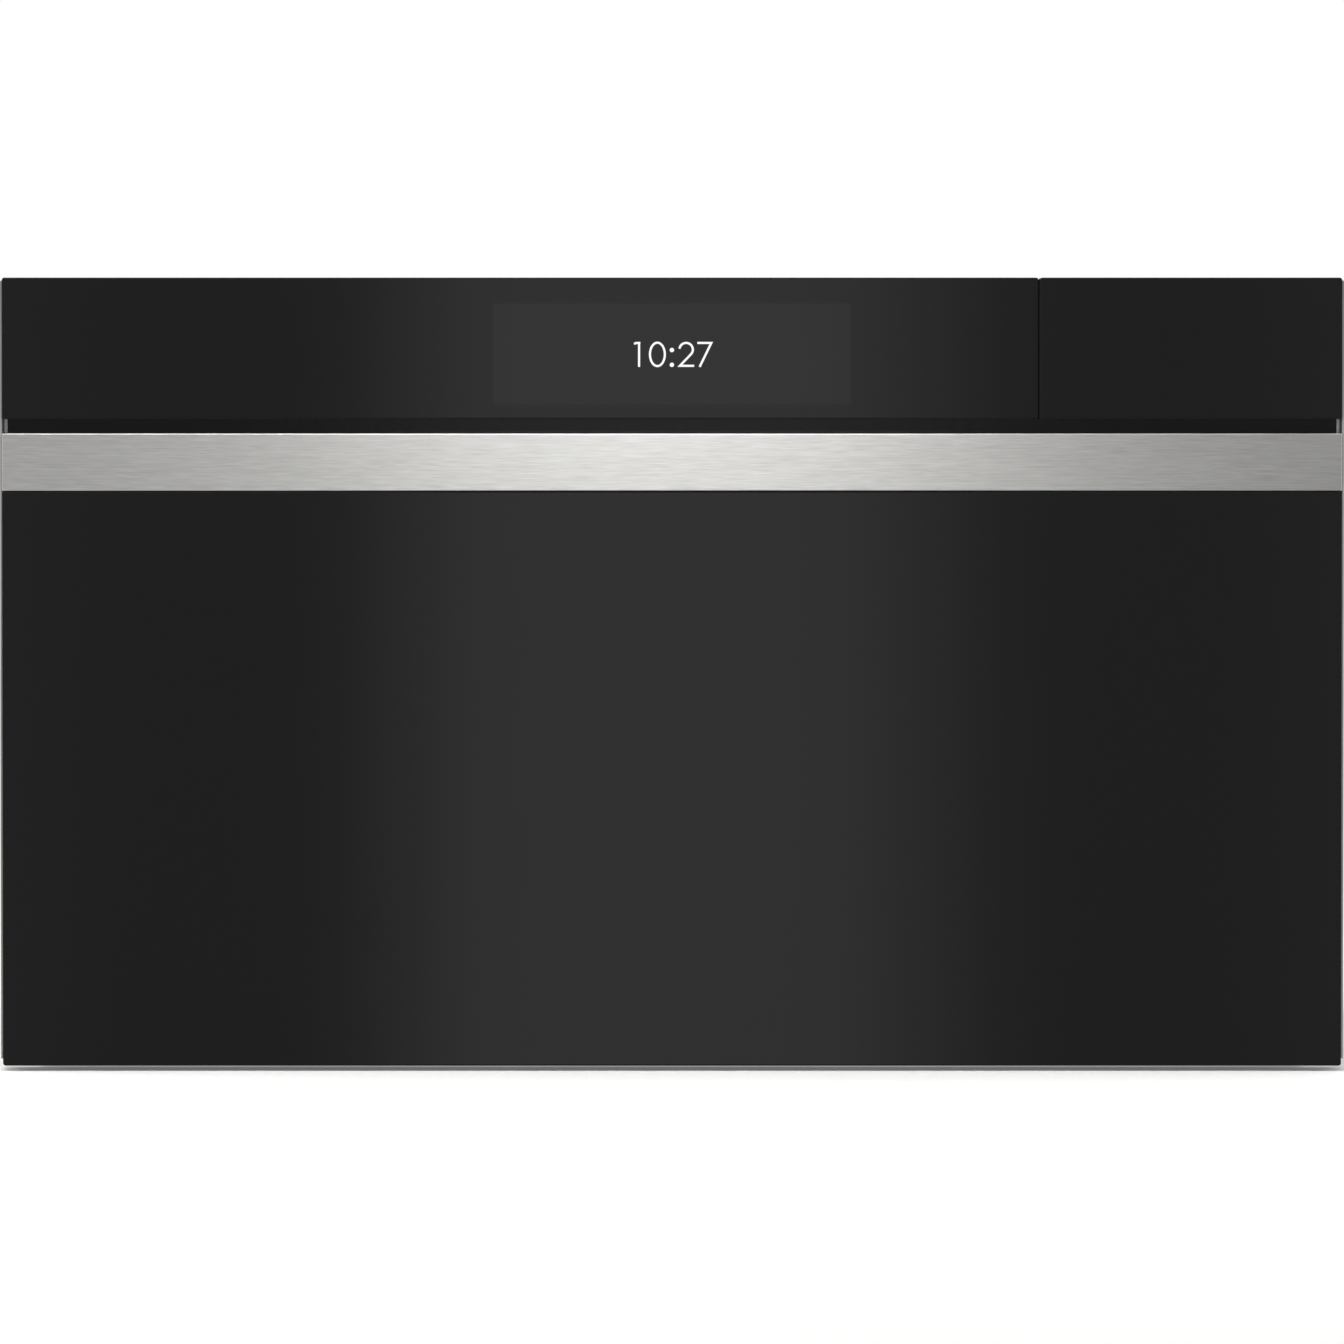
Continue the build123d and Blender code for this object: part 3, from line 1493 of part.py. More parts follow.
# Water pump: solenoid pump on a foot, in line with the dock valve
pump_foot = 30.0
with BuildPart() as water_pump:
    wire_bar(
        (bay_mid_x, pump_y, spigot_z),
        (bay_mid_x, pump_y + pump_nipple, spigot_z),
        spigot_radius,
    )
    round_bar(
        (bay_mid_x, pump_y + pump_nipple, spigot_z),
        (bay_mid_x, pump_back_y, spigot_z),
        pump_radius,
    )
    wire_bar(
        (bay_mid_x, pump_back_y, spigot_z),
        (bay_mid_x, pump_back_y + pump_nipple, spigot_z),
        feed_radius,
    )
    block(
        (bay_mid_x - pump_radius / 2, bay_mid_x + pump_radius / 2),
        (pump_back_y - pump_foot, pump_back_y - pump_nipple),
        (shelf_top_z, spigot_z),
    )
    block(
        (bay_mid_x - pump_radius, bay_mid_x + pump_radius),
        (pump_back_y - pump_foot, pump_back_y - pump_nipple),
        (shelf_top_z, shelf_top_z + 2 * sheet),
    )
water_pump.part.label = "water_pump"
export_step(water_pump.part, "parts/water_pump.step")

# Steam generator: upright boiler on the floor pan, water in low down, steam out at the top
boiler_base_z = body_bottom_z + sheet
boiler_top_z = boiler_base_z + boiler_flange + boiler_height
with BuildPart() as steam_generator:
    block(
        (boiler_x - boiler_half_width, boiler_x + boiler_half_width),
        (boiler_y - boiler_radius, boiler_y + boiler_radius),
        (boiler_base_z, boiler_base_z + boiler_flange),
    )
    round_bar(
        (boiler_x, boiler_y, boiler_base_z),
        (boiler_x, boiler_y, boiler_top_z),
        boiler_radius,
    )
    wire_bar(
        (boiler_x, boiler_y, boiler_top_z),
        (boiler_x, boiler_y, boiler_top_z + boiler_nipple),
        feed_radius,
    )
    wire_bar(
        (boiler_x, boiler_y, boiler_inlet_z),
        (boiler_x, boiler_y + boiler_radius + boiler_nipple, boiler_inlet_z),
        feed_radius,
    )
steam_generator.part.label = "steam_generator"
export_step(steam_generator.part, "parts/steam_generator.step")


def hose(points, radius, bend, across):
    """Hose along straight runs joined by arcs, with a corner of its section across its start."""
    with BuildLine() as route:
        FilletPolyline(*points, radius=bend)
    start = route.line @ 0
    with BuildSketch(Plane(start, x_dir=across, z_dir=route.line % 0)) as section:
        RegularPolygon(radius, 6)
    sweep(section.sketch, path=route.line)


feed_bend = 24.0
with BuildPart() as feed_hose:
    hose(
        [
            (bay_mid_x, pump_back_y + pump_nipple, spigot_z),
            (bay_mid_x, feed_turn_y, spigot_z),
            (boiler_x, feed_turn_y, boiler_inlet_z),
            (boiler_x, boiler_y + boiler_radius + boiler_nipple, boiler_inlet_z),
        ],
        feed_radius,
        feed_bend,
        (0, 0, 1),
    )
feed_hose.part.label = "feed_hose"
export_step(feed_hose.part, "parts/feed_hose.step")

steam_bend = 10.0
with BuildPart() as steam_hose:
    hose(
        [
            (boiler_x, boiler_y, boiler_top_z + boiler_nipple),
            (boiler_x, boiler_y, steam_z),
            (boiler_x, steam_y, steam_z),
            (steam_stub_x, steam_y, steam_z),
        ],
        steam_radius + sheet,
        steam_bend,
        (1, 0, 0),
    )
steam_hose.part.label = "steam_hose"
export_step(steam_hose.part, "parts/steam_hose.step")

# Exhaust duct: sheet chimney from the cavity through the wool and the shelf
vent_wall = 1.0
vent_height = 58.0
flap_height = 30.0
vent_top_z = shelf_top_z + vent_height
flap_z = shelf_top_z + flap_height
flap_shaft_radius = 2.5
shaft_play = 0.05
flap_thickness = 1.5
flap_play = 0.5
with BuildPart() as exhaust_duct:
    block(
        (vent_x - vent_width / 2, vent_x + vent_width / 2),
        (vent_y - vent_length / 2, vent_y + vent_length / 2),
        (cavity_top_z, vent_top_z),
    )
    block(
        (vent_x - vent_width / 2 + vent_wall, vent_x + vent_width / 2 - vent_wall),
        (vent_y - vent_length / 2 + vent_wall, vent_y + vent_length / 2 - vent_wall),
        (cavity_top_z, vent_top_z),
        mode=Mode.SUBTRACT,
    )
    round_bar(
        (vent_x - vent_width, vent_y, flap_z),
        (vent_x + vent_width, vent_y, flap_z),
        flap_shaft_radius + shaft_play,
        mode=Mode.SUBTRACT,
    )
exhaust_duct.part.label = "exhaust_duct"
export_step(exhaust_duct.part, "parts/exhaust_duct.step")

# Exhaust flap: plate on a shaft across the duct, turned by the flap motor
flap_half_x = vent_width / 2 - vent_wall - flap_play
flap_half_y = vent_length / 2 - vent_wall - flap_play
flap_motor_x = vent_x + vent_width / 2
flap_coupling = 10.0
with BuildPart() as exhaust_flap:
    block(
        (vent_x - flap_half_x, vent_x + flap_half_x),
        (vent_y - flap_half_y, vent_y + flap_half_y),
        (flap_z - flap_thickness / 2, flap_z + flap_thickness / 2),
    )
    round_bar(
        (vent_x - vent_width / 2 - vent_wall, vent_y, flap_z),
        (flap_motor_x + flap_coupling, vent_y, flap_z),
        flap_shaft_radius,
    )
exhaust_flap.part.label = "exhaust_flap"
export_step(exhaust_flap.part, "parts/exhaust_flap.step")

# Exhaust flap: small synchronous motor screwed to the duct
flap_motor_radius = 17.0
flap_motor_length = 24.0
with BuildPart() as flap_motor:
    wire_bar(
        (flap_motor_x, vent_y, flap_z),
        (flap_motor_x + flap_motor_length, vent_y, flap_z),
        flap_motor_radius,
        shaft_hole_sides,
    )
    round_bar(
        (flap_motor_x, vent_y, flap_z),
        (flap_motor_x + flap_coupling + flap_play, vent_y, flap_z),
        flap_shaft_radius + shaft_play,
        mode=Mode.SUBTRACT,
    )
flap_motor.part.label = "flap_motor"
export_step(flap_motor.part, "parts/flap_motor.step")

# Cooling blower: scroll housing of a tangential blower, open at the top front
scroll_radius = blower_radius + blower_scroll_gap
scroll_wall = 1.2
blower_y = rear_y - blower_rear_gap
blower_z = shelf_top_z + scroll_wall + scroll_radius
scroll_front_y = blower_y - scroll_radius - scroll_wall
duct_roof_z = shelf_top_z + duct_height
tongue_top_z = blower_z - scroll_wall
blower_left_x = -body_side_x + blower_inset
blower_right_x = blower_left_x + blower_length
blower_end_gap = 3.0
housing_x = (
    blower_left_x - blower_end_gap - scroll_wall,
    blower_right_x + blower_end_gap + scroll_wall,
)
with BuildPart() as blower_housing:
    with BuildSketch(Plane.YZ.offset(housing_x[0])) as scroll:
        with Locations((blower_y, blower_z)):
            Circle(scroll_radius + scroll_wall)
            Circle(scroll_radius, mode=Mode.SUBTRACT)
        with Locations((blower_y - scroll_radius, blower_z)):
            Rectangle(2 * scroll_radius, 3 * scroll_radius, mode=Mode.SUBTRACT)
    extrude(scroll.sketch, amount=housing_x[1] - housing_x[0])
    block(housing_x, (scroll_front_y, blower_y), (shelf_top_z, shelf_top_z + scroll_wall))
    block(housing_x, (scroll_front_y, scroll_front_y + scroll_wall), (duct_roof_z, tongue_top_z))
    for plate_x in (housing_x[0], housing_x[1] - scroll_wall):
        with BuildSketch(Plane.YZ.offset(plate_x)) as end_plate:
            with Locations((blower_y, blower_z)):
                Circle(scroll_radius + scroll_wall)
            with Locations(((scroll_front_y + blower_y) / 2, (shelf_top_z + tongue_top_z) / 2)):
                Rectangle(blower_y - scroll_front_y, tongue_top_z - shelf_top_z)
            with Locations((blower_y, blower_z)):
                Circle(blower_shaft_radius + shaft_play, mode=Mode.SUBTRACT)
        extrude(end_plate.sketch, amount=scroll_wall)
blower_housing.part.label = "blower_housing"
export_step(blower_housing.part, "parts/blower_housing.step")

# Cooling blower: cross-flow wheel, curved blades between discs on a shaft
wheel_disc = 1.5
wheel_blade_chord = 9.0
wheel_blade_sag = 2.0
wheel_blade_thickness = 1.2
wheel_blade_angle = 62.0
wheel_shaft_end = 14.0
with BuildPart() as blower_wheel:
    for disc_x in (blower_left_x, blower_right_x - wheel_disc):
        wire_bar(
            (disc_x, blower_y, blower_z),
            (disc_x + wheel_disc, blower_y, blower_z),
            blower_radius,
            blower_blades,
        )
    with BuildSketch(Plane.YZ.offset(blower_left_x)) as wheel_blades:
        with Locations((blower_y, blower_z)):
            with PolarLocations(blower_radius - wheel_blade_chord / 2, blower_blades):
                with Locations(Location((0, 0, 0), (0, 0, wheel_blade_angle))):
                    bent_blade(wheel_blade_chord, wheel_blade_sag, wheel_blade_thickness)
    extrude(wheel_blades.sketch, amount=blower_length)
    round_bar(
        (housing_x[0] - wheel_disc, blower_y, blower_z),
        (housing_x[1] + wheel_shaft_end, blower_y, blower_z),
        blower_shaft_radius,
    )
blower_wheel.part.label = "blower_wheel"
export_step(blower_wheel.part, "parts/blower_wheel.step")

# Cooling blower: motor on the housing's right end
blower_motor_radius = 22.0
blower_motor_length = 34.0
with BuildPart() as blower_motor:
    wire_bar(
        (housing_x[1], blower_y, blower_z),
        (housing_x[1] + blower_motor_length, blower_y, blower_z),
        blower_motor_radius,
        shaft_hole_sides,
    )
    round_bar(
        (housing_x[1], blower_y, blower_z),
        (housing_x[1] + wheel_shaft_end + flap_play, blower_y, blower_z),
        blower_shaft_radius + shaft_play,
        mode=Mode.SUBTRACT,
    )
blower_motor.part.label = "blower_motor"
export_step(blower_motor.part, "parts/blower_motor.step")

# Air duct: sheet channel from the blower, widening to the outlet behind the recess
duct_neck = 93.8
duct_taper = 76.0
duct_narrow_y = scroll_front_y - duct_neck
duct_wide_y = duct_narrow_y - duct_taper


def duct_outline(inset, end):
    """Plan of the duct, inset by its wall and run past its open ends."""
    return [
        (duct_left_x + inset, frame_back_y - end),
        (duct_right_x - inset, frame_back_y - end),
        (duct_right_x - inset, duct_wide_y),
        (housing_x[1] - inset, duct_narrow_y),
        (housing_x[1] - inset, scroll_front_y + end),
        (housing_x[0] + inset, scroll_front_y + end),
        (housing_x[0] + inset, duct_narrow_y),
        (duct_left_x + inset, duct_wide_y),
    ]


with BuildPart() as air_duct:
    profile_along_z(duct_outline(0, 0), (shelf_top_z, duct_roof_z))
    profile_along_z(
        duct_outline(duct_wall, duct_wall),
        (shelf_top_z, duct_roof_z - duct_wall),
        mode=Mode.SUBTRACT,
    )
air_duct.part.label = "air_duct"
export_step(air_duct.part, "parts/air_duct.step")

# Push latch behind the drawer tray
latch_x = bay_mid_x + 38.0
latch_radius = 5.0
latch_body = 16.0
latch_free = 1.8
latch_z = tray_floor_z + 26.0
with BuildPart() as push_latch:
    block(
        (latch_x - latch_body / 2, latch_x + latch_body / 2),
        (bay_back_y - bay_wall - latch_body, bay_back_y - bay_wall),
        (latch_z - latch_body / 2, latch_z + latch_body / 2),
    )
    wire_bar(
        (latch_x, tray_back_y + latch_free, latch_z),
        (latch_x, bay_back_y - bay_wall - latch_body, latch_z),
        latch_radius,
        spigot_sides,
    )
push_latch.part.label = "push_latch"
export_step(push_latch.part, "parts/push_latch.step")

# Power board on posts at the left of the shelf, with its transformer, relays and capacitor
terminal_depth = 56.0
power_inset = 12.0
power_width = 84.0
power_length = 152.0
power_terminal_gap = 29.8
power_x = (-body_side_x + power_inset, -body_side_x + power_inset + power_width)
power_back_y = inner_back_y - terminal_depth - power_terminal_gap
power_y = (power_back_y - power_length, power_back_y)
power_post = 9.0
power_post_inset = 6.0
power_base_z = shelf_top_z + power_post
board_top_z = power_base_z + board_thickness
part_inset = 10.0
transformer_size = (40.0, 38.0, 30.0)
relay_size = (24.0, 15.0, 16.0)
relay_count = 4
relay_pitch = 20.0
relay_row_start = 64.0
capacitor_radius = 11.0
capacitor_height = 28.0
with BuildPart() as power_board:
    block(power_x, power_y, (power_base_z, power_base_z + board_thickness))
    for post_x in (power_x[0] + power_post_inset, power_x[1] - power_post_inset):
        for post_y in (power_y[0] + power_post_inset, power_y[1] - power_post_inset):
            wire_bar((post_x, post_y, shelf_top_z), (post_x, post_y, power_base_z), post_radius)
    block(
        (power_x[0] + part_inset, power_x[0] + part_inset + transformer_size[0]),
        (power_y[0] + part_inset, power_y[0] + part_inset + transformer_size[1]),
        (board_top_z, board_top_z + transformer_size[2]),
    )
    for relay in range(relay_count):
        relay_y = power_y[0] + relay_row_start + relay * relay_pitch
        block(
            (power_x[0] + part_inset, power_x[0] + part_inset + relay_size[0]),
            (relay_y, relay_y + relay_size[1]),
            (board_top_z, board_top_z + relay_size[2]),
        )
    capacitor_x = power_x[1] - part_inset - capacitor_radius
    capacitor_y = (power_y[0] + power_y[1]) / 2
    wire_bar(
        (capacitor_x, capacitor_y, board_top_z),
        (capacitor_x, capacitor_y, board_top_z + capacitor_height),
        capacitor_radius,
        spigot_sides,
    )
power_board.part.label = "power_board"
export_step(power_board.part, "parts/power_board.step")

# Terminal box inside the back, with the mains cable entry
terminal_inset = 18.0
terminal_width = 80.0
terminal_x = (-body_side_x + terminal_inset, -body_side_x + terminal_inset + terminal_width)
terminal_height = 62.0
terminal_wall = 2.0
entry_radius = 11.0
entry_x = (terminal_x[0] + terminal_x[1]) / 2
entry_z = shelf_top_z + terminal_height / 2
with BuildPart() as terminal_box:
    block(
        terminal_x,
        (inner_back_y - terminal_depth, inner_back_y),
        (shelf_top_z, shelf_top_z + terminal_height),
    )
    block(
        (terminal_x[0] + terminal_wall, terminal_x[1] - terminal_wall),
        (inner_back_y - terminal_depth + terminal_wall, inner_back_y - terminal_wall),
        (shelf_top_z + terminal_wall, shelf_top_z + terminal_height),
        mode=Mode.SUBTRACT,
    )
    round_bar(
        (entry_x, inner_back_y - terminal_wall, entry_z),
        (entry_x, inner_back_y, entry_z),
        entry_radius,
        Mode.SUBTRACT,
    )
terminal_box.part.label = "terminal_box"
export_step(terminal_box.part, "parts/terminal_box.step")

# Casing: floor pan with upturned sides
pan_turn = 16.0
floor_side_x = body_side_x - sheet
with BuildPart() as floor_pan:
    profile_along_y(
        [
            (-floor_side_x, body_bottom_z),
            (floor_side_x, body_bottom_z),
            (floor_side_x, body_bottom_z + pan_turn),
            (floor_side_x - sheet, body_bottom_z + pan_turn),
            (floor_side_x - sheet, body_bottom_z + sheet),
            (-floor_side_x + sheet, body_bottom_z + sheet),
            (-floor_side_x + sheet, body_bottom_z + pan_turn),
            (-floor_side_x, body_bottom_z + pan_turn),
        ],
        (frame_back_y, inner_back_y),
    )
floor_pan.part.label = "floor_pan"
export_step(floor_pan.part, "parts/floor_pan.step")

# Casing: side panels with a flange along the top and cooling slots at the back
panel_turn = 12.0
panel_top_z = body_top_z - sheet
side_slot_count = 6
side_slot_pitch = 12.0
side_slot_length = 60.0
side_slot_width = 4.0
side_slot_y = rear_y - 70.0
side_slot_z = body_bottom_z + 90.0
with BuildPart() as side_panels:
    for side in HANDS.values():
        profile_along_y(
            [
                (side * body_side_x, body_bottom_z),
                (side * body_side_x, panel_top_z),
                (side * (body_side_x - panel_turn), panel_top_z),
                (side * (body_side_x - panel_turn), panel_top_z - sheet),
                (side * (body_side_x - sheet), panel_top_z - sheet),
                (side * (body_side_x - sheet), body_bottom_z),
            ],
            (frame_back_y, inner_back_y),
        )
        for slot in range(side_slot_count):
            slot_z = side_slot_z + slot * side_slot_pitch
            block(
                (side * (body_side_x - sheet), side * body_side_x),
                (side_slot_y - side_slot_length / 2, side_slot_y + side_slot_length / 2),
                (slot_z, slot_z + side_slot_width),
                mode=Mode.SUBTRACT,
            )
side_panels.part.label = "side_panels"
export_step(side_panels.part, "parts/side_panels.step")

# Casing: top cover with intake slots over the blower
top_slot_count = 12
top_slot_pitch = 16.0
top_slot_length = 46.0
top_slot_width = 5.0
with BuildPart() as top_cover:
    block((-body_side_x, body_side_x), (frame_back_y, inner_back_y), (panel_top_z, body_top_z))
    with BuildSketch(Plane.XY.offset(panel_top_z)) as top_slots:
        with Locations(((blower_left_x + blower_right_x) / 2, blower_y)):
            with GridLocations(top_slot_pitch, 0, top_slot_count, 1):
                Rectangle(top_slot_width, top_slot_length)
    extrude(top_slots.sketch, amount=sheet, mode=Mode.SUBTRACT)
top_cover.part.label = "top_cover"
export_step(top_cover.part, "parts/top_cover.step")

# Casing: rear panel with motor cooling slots and the cable entry
rear_slot_count = 10
rear_slot_pitch = 18.0
rear_slot_length = 70.0
rear_slot_width = 5.0
with BuildPart() as rear_panel:
    block((-body_side_x, body_side_x), (inner_back_y, rear_y), (body_bottom_z, body_top_z))
    with BuildSketch(Plane.XZ.offset(-rear_y)) as rear_slots:
        with Locations((0, cavity_mid_z)):
            with GridLocations(rear_slot_pitch, 0, rear_slot_count, 1):
                Rectangle(rear_slot_width, rear_slot_length)
        with Locations((entry_x, entry_z)):
            Circle(entry_radius)
    extrude(rear_slots.sketch, amount=sheet, mode=Mode.SUBTRACT)
rear_panel.part.label = "rear_panel"
export_step(rear_panel.part, "parts/rear_panel.step")

# Runners: two skids under the floor pan, set back behind the door
runner_width = 25.0
runner_inset = 50.0
runner_x = body_side_x - runner_inset
runner_setback = 110.0
runner_tail = 20.0
runner_lead = 2.5
with BuildPart() as runners:
    for side in HANDS.values():
        block(
            (side * runner_x - runner_width / 2, side * runner_x + runner_width / 2),
            (pane_front_y + runner_setback, rear_y - runner_tail),
            (0, body_bottom_z),
        )
    chamfer(runners.edges().filter_by(Axis.X).group_by(Axis.Z)[0], runner_lead)
runners.part.label = "runners"
export_step(runners.part, "parts/runners.step")
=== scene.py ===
import json
import math
import bmesh
import bpy
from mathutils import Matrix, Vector

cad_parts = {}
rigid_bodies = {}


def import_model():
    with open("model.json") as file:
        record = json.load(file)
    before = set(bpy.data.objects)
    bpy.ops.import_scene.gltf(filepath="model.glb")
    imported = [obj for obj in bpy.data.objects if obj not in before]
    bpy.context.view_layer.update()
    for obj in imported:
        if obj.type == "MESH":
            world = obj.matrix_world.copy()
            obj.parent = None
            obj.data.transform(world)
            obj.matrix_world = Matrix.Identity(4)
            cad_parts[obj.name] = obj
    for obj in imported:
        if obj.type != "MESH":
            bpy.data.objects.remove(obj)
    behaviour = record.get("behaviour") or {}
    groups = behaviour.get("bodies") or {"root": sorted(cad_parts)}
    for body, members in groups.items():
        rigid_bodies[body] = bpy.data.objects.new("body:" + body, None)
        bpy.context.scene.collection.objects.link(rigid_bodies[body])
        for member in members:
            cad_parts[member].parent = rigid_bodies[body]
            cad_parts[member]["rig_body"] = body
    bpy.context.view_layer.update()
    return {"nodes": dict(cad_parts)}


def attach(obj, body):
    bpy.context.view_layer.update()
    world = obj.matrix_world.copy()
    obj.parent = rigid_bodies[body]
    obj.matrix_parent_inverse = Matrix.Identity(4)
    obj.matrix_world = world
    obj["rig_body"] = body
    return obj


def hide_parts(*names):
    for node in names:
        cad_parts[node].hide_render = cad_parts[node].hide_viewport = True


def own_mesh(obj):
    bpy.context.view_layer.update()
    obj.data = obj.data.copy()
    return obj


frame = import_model()
nodes = frame["nodes"]

# Studio: a pale paper floor in a white room, with a tall dim softbox straight ahead.
# The room is a sky that differs by direction, so gloss on the front shows a soft
# upright band of light, and the camera and the glass see white behind the oven.
floor_half = 7.0
front_y = -0.28735
camera_distance = 6.5
view_width = 0.7586
sensor_width = 36.0
aim = Vector((0.0, front_y, 0.2256))
camera_rise = math.radians(1.8)
far_clip = 60.0


def linear(code):
    """A colour written as sRGB hex, turned to the linear values that a shader takes."""
    values = [int(code[i:i + 2], 16) / 255 for i in (0, 2, 4)]
    return tuple(v / 12.92 if v <= 0.04045 else ((v + 0.055) / 1.055) ** 2.4 for v in values) + (1.0,)


def add_node(tree, kind, inputs=None, **settings):
    """A node with its settings, each input set to a value or linked to another node's output."""
    node = tree.nodes.new(kind)
    for name, value in settings.items():
        setattr(node, name, value)
    for key, value in (inputs or {}).items():
        if isinstance(value, bpy.types.NodeSocket):
            tree.links.new(value, node.inputs[key])
        else:
            node.inputs[key].default_value = value
    return node


def new_material(name, **sockets):
    """A material's node tree and its shader, whose sockets take the constant values given."""
    material = bpy.data.materials.new(name)
    material.use_nodes = True
    shader = material.node_tree.nodes["Principled BSDF"]
    for socket, value in sockets.items():
        shader.inputs[socket.replace("_", " ")].default_value = value
    return material, material.node_tree, shader


def connect(tree, shader, **outputs):
    """Links node outputs to the shader's sockets of those names."""
    for socket, output in outputs.items():
        tree.links.new(output, shader.inputs[socket.replace("_", " ")])


def patterned(name, grain, tones, polish=None, relief=None, fine=None, stretch=None, **sockets):
    """A material whose colour, roughness and bump follow noise on the piece's own coordinates.

    The grain is the noise's cells in a metre and its detail, and a stretch gives the cells in a metre along
    each axis. The polish is the roughness at both ends of the noise. The relief is the bump's strength and
    its depth in metres, and follows a finer noise where one is given.
    """
    material, tree, shader = new_material(name, **sockets)
    place = add_node(tree, "ShaderNodeTexCoord").outputs["Object"]
    if stretch:
        place = add_node(tree, "ShaderNodeMapping", {"Vector": place, "Scale": stretch}).outputs[0]
    noises = [add_node(tree, "ShaderNodeTexNoise", {"Vector": place, "Scale": scale, "Detail": detail})
              for scale, detail in [grain] + ([fine] if fine else [])]
    noise = noises[0].outputs["Fac"]
    tone = add_node(tree, "ShaderNodeMixRGB", {
        "Fac": noise, "Color1": linear(tones[0]), "Color2": linear(tones[1])})
    connect(tree, shader, Base_Color=tone.outputs[0])
    if polish:
        rough = add_node(tree, "ShaderNodeMapRange", {
            "Value": noise, "To Min": polish[0], "To Max": polish[1]})
        connect(tree, shader, Roughness=rough.outputs[0])
    if relief:
        bump = add_node(tree, "ShaderNodeBump", {
            "Height": noises[-1].outputs["Fac"], "Strength": relief[0], "Distance": relief[1]})
        connect(tree, shader, Normal=bump.outputs[0])
    return material


def show(name, data):
    """A new object with this data, linked to the scene."""
    thing = bpy.data.objects.new(name, data)
    bpy.context.scene.collection.objects.link(thing)
    return thing


# The sky goes by how far a direction lies to the side and how high. Straight ahead it is dim, with the bright
# band in the middle, and higher up it darkens towards the right. Far to both sides it is pale.
world = bpy.data.worlds.new("Studio room")
bpy.context.scene.world = world
world.use_nodes = True
sky = world.node_tree
sky.nodes.clear()
direction = add_node(sky, "ShaderNodeTexCoord").outputs["Generated"]
split = add_node(sky, "ShaderNodeSeparateXYZ", {0: direction}).outputs
ahead = add_node(sky, "ShaderNodeMath", {0: split["Y"], 1: -1.0}, operation="MULTIPLY").outputs[0]
ahead_safe = add_node(sky, "ShaderNodeMath", {0: ahead, 1: 0.02}, operation="MAXIMUM").outputs[0]
across = add_node(sky, "ShaderNodeMath", {0: split["X"], 1: ahead_safe}, operation="DIVIDE").outputs[0]
sideways = add_node(sky, "ShaderNodeMath", {0: across}, operation="ABSOLUTE").outputs[0]
height = add_node(sky, "ShaderNodeMath", {0: split["Z"]}, operation="ABSOLUTE").outputs[0]
soft = {}
for edge, value, start, end in (
        ("band left", across, -0.0335, -0.0125), ("band right", across, 0.0345, 0.0095),
        ("wide left", across, -0.25, -0.9), ("wide right", across, 0.4, 1.1), ("high", height, 0.18, 0.55)):
    soft[edge] = add_node(sky, "ShaderNodeMapRange", {"Value": value, "From Min": start, "From Max": end},
                          interpolation_type="SMOOTHSTEP").outputs[0]
band = add_node(sky, "ShaderNodeMath", {0: soft["band left"], 1: soft["band right"]},
                operation="MULTIPLY").outputs[0]
wide = add_node(sky, "ShaderNodeMath", {0: soft["wide left"], 1: soft["wide right"]},
                operation="MAXIMUM").outputs[0]
lift = add_node(sky, "ShaderNodeMapRange", {
    "Value": sideways, "From Min": 0.048, "From Max": 0.060, "To Min": 0.30, "To Max": 0.35}).outputs[0]
level = add_node(sky, "ShaderNodeMapRange", {"Value": band, "To Min": lift, "To Max": 0.729}).outputs[0]
above = add_node(sky, "ShaderNodeMapRange", {
    "Value": across, "From Min": -0.035, "From Max": 0.062, "To Min": 1.0, "To Max": 0.04}).outputs[0]
ahead_room = add_node(sky, "ShaderNodeMix", {"Factor": soft["high"], "A": level, "B": above}).outputs[0]
room = add_node(sky, "ShaderNodeMix", {"Factor": wide, "A": ahead_room, "B": 0.86}).outputs[0]
path = add_node(sky, "ShaderNodeLightPath").outputs
straight = add_node(sky, "ShaderNodeMath", {0: path["Is Camera Ray"], 1: path["Is Transmission Ray"]},
                    operation="MAXIMUM").outputs[0]
seen = add_node(sky, "ShaderNodeMix", {"Factor": straight, "A": room, "B": 1.0}).outputs[0]
background = add_node(sky, "ShaderNodeBackground", {"Color": (1.0, 1.0, 1.0, 1.0), "Strength": seen})
add_node(sky, "ShaderNodeOutputWorld", {"Surface": background.outputs[0]})

floor_mesh = bpy.data.meshes.new("floor")
floor_corners = ((-1, -1), (1, -1), (1, 1), (-1, 1))
floor_mesh.from_pydata([(x * floor_half, y * floor_half, 0.0) for x, y in floor_corners], [], [(0, 1, 2, 3)])
floor = show("floor", floor_mesh)
floor.visible_glossy = False

# Matt white studio paper: it scatters the room's light and keeps the oven's shadow. It glows a little to the
# camera and through glass, so that it meets the white behind it.
paper = patterned("studio paper, matt white", (3.0, 3.0), ("F1F1EF", "F4F4F2"), Roughness=0.9)
tree = paper.node_tree
shader = tree.nodes["Principled BSDF"]
path = add_node(tree, "ShaderNodeLightPath").outputs
straight = add_node(tree, "ShaderNodeMath", {0: path["Is Camera Ray"], 1: path["Is Transmission Ray"]},
                    operation="MAXIMUM").outputs[0]
glow = add_node(tree, "ShaderNodeMath", {0: straight, 1: 0.12}, operation="MULTIPLY").outputs[0]
shader.inputs["Emission Color"].default_value = (1.0, 1.0, 1.0, 1.0)
connect(tree, shader, Emission_Strength=glow)
floor_mesh.materials.append(paper)

camera_data = bpy.data.cameras.new("camera")
camera_data.sensor_width = sensor_width
camera_data.lens = sensor_width * camera_distance / view_width
camera_data.clip_end = far_clip
camera = show("camera", camera_data)
camera.location = aim + Vector((0.0, -math.cos(camera_rise), math.sin(camera_rise))) * camera_distance
camera.rotation_euler = (math.pi / 2 - camera_rise, 0.0, 0.0)
bpy.context.scene.camera = camera
bpy.context.scene.view_settings.view_transform = "Standard"

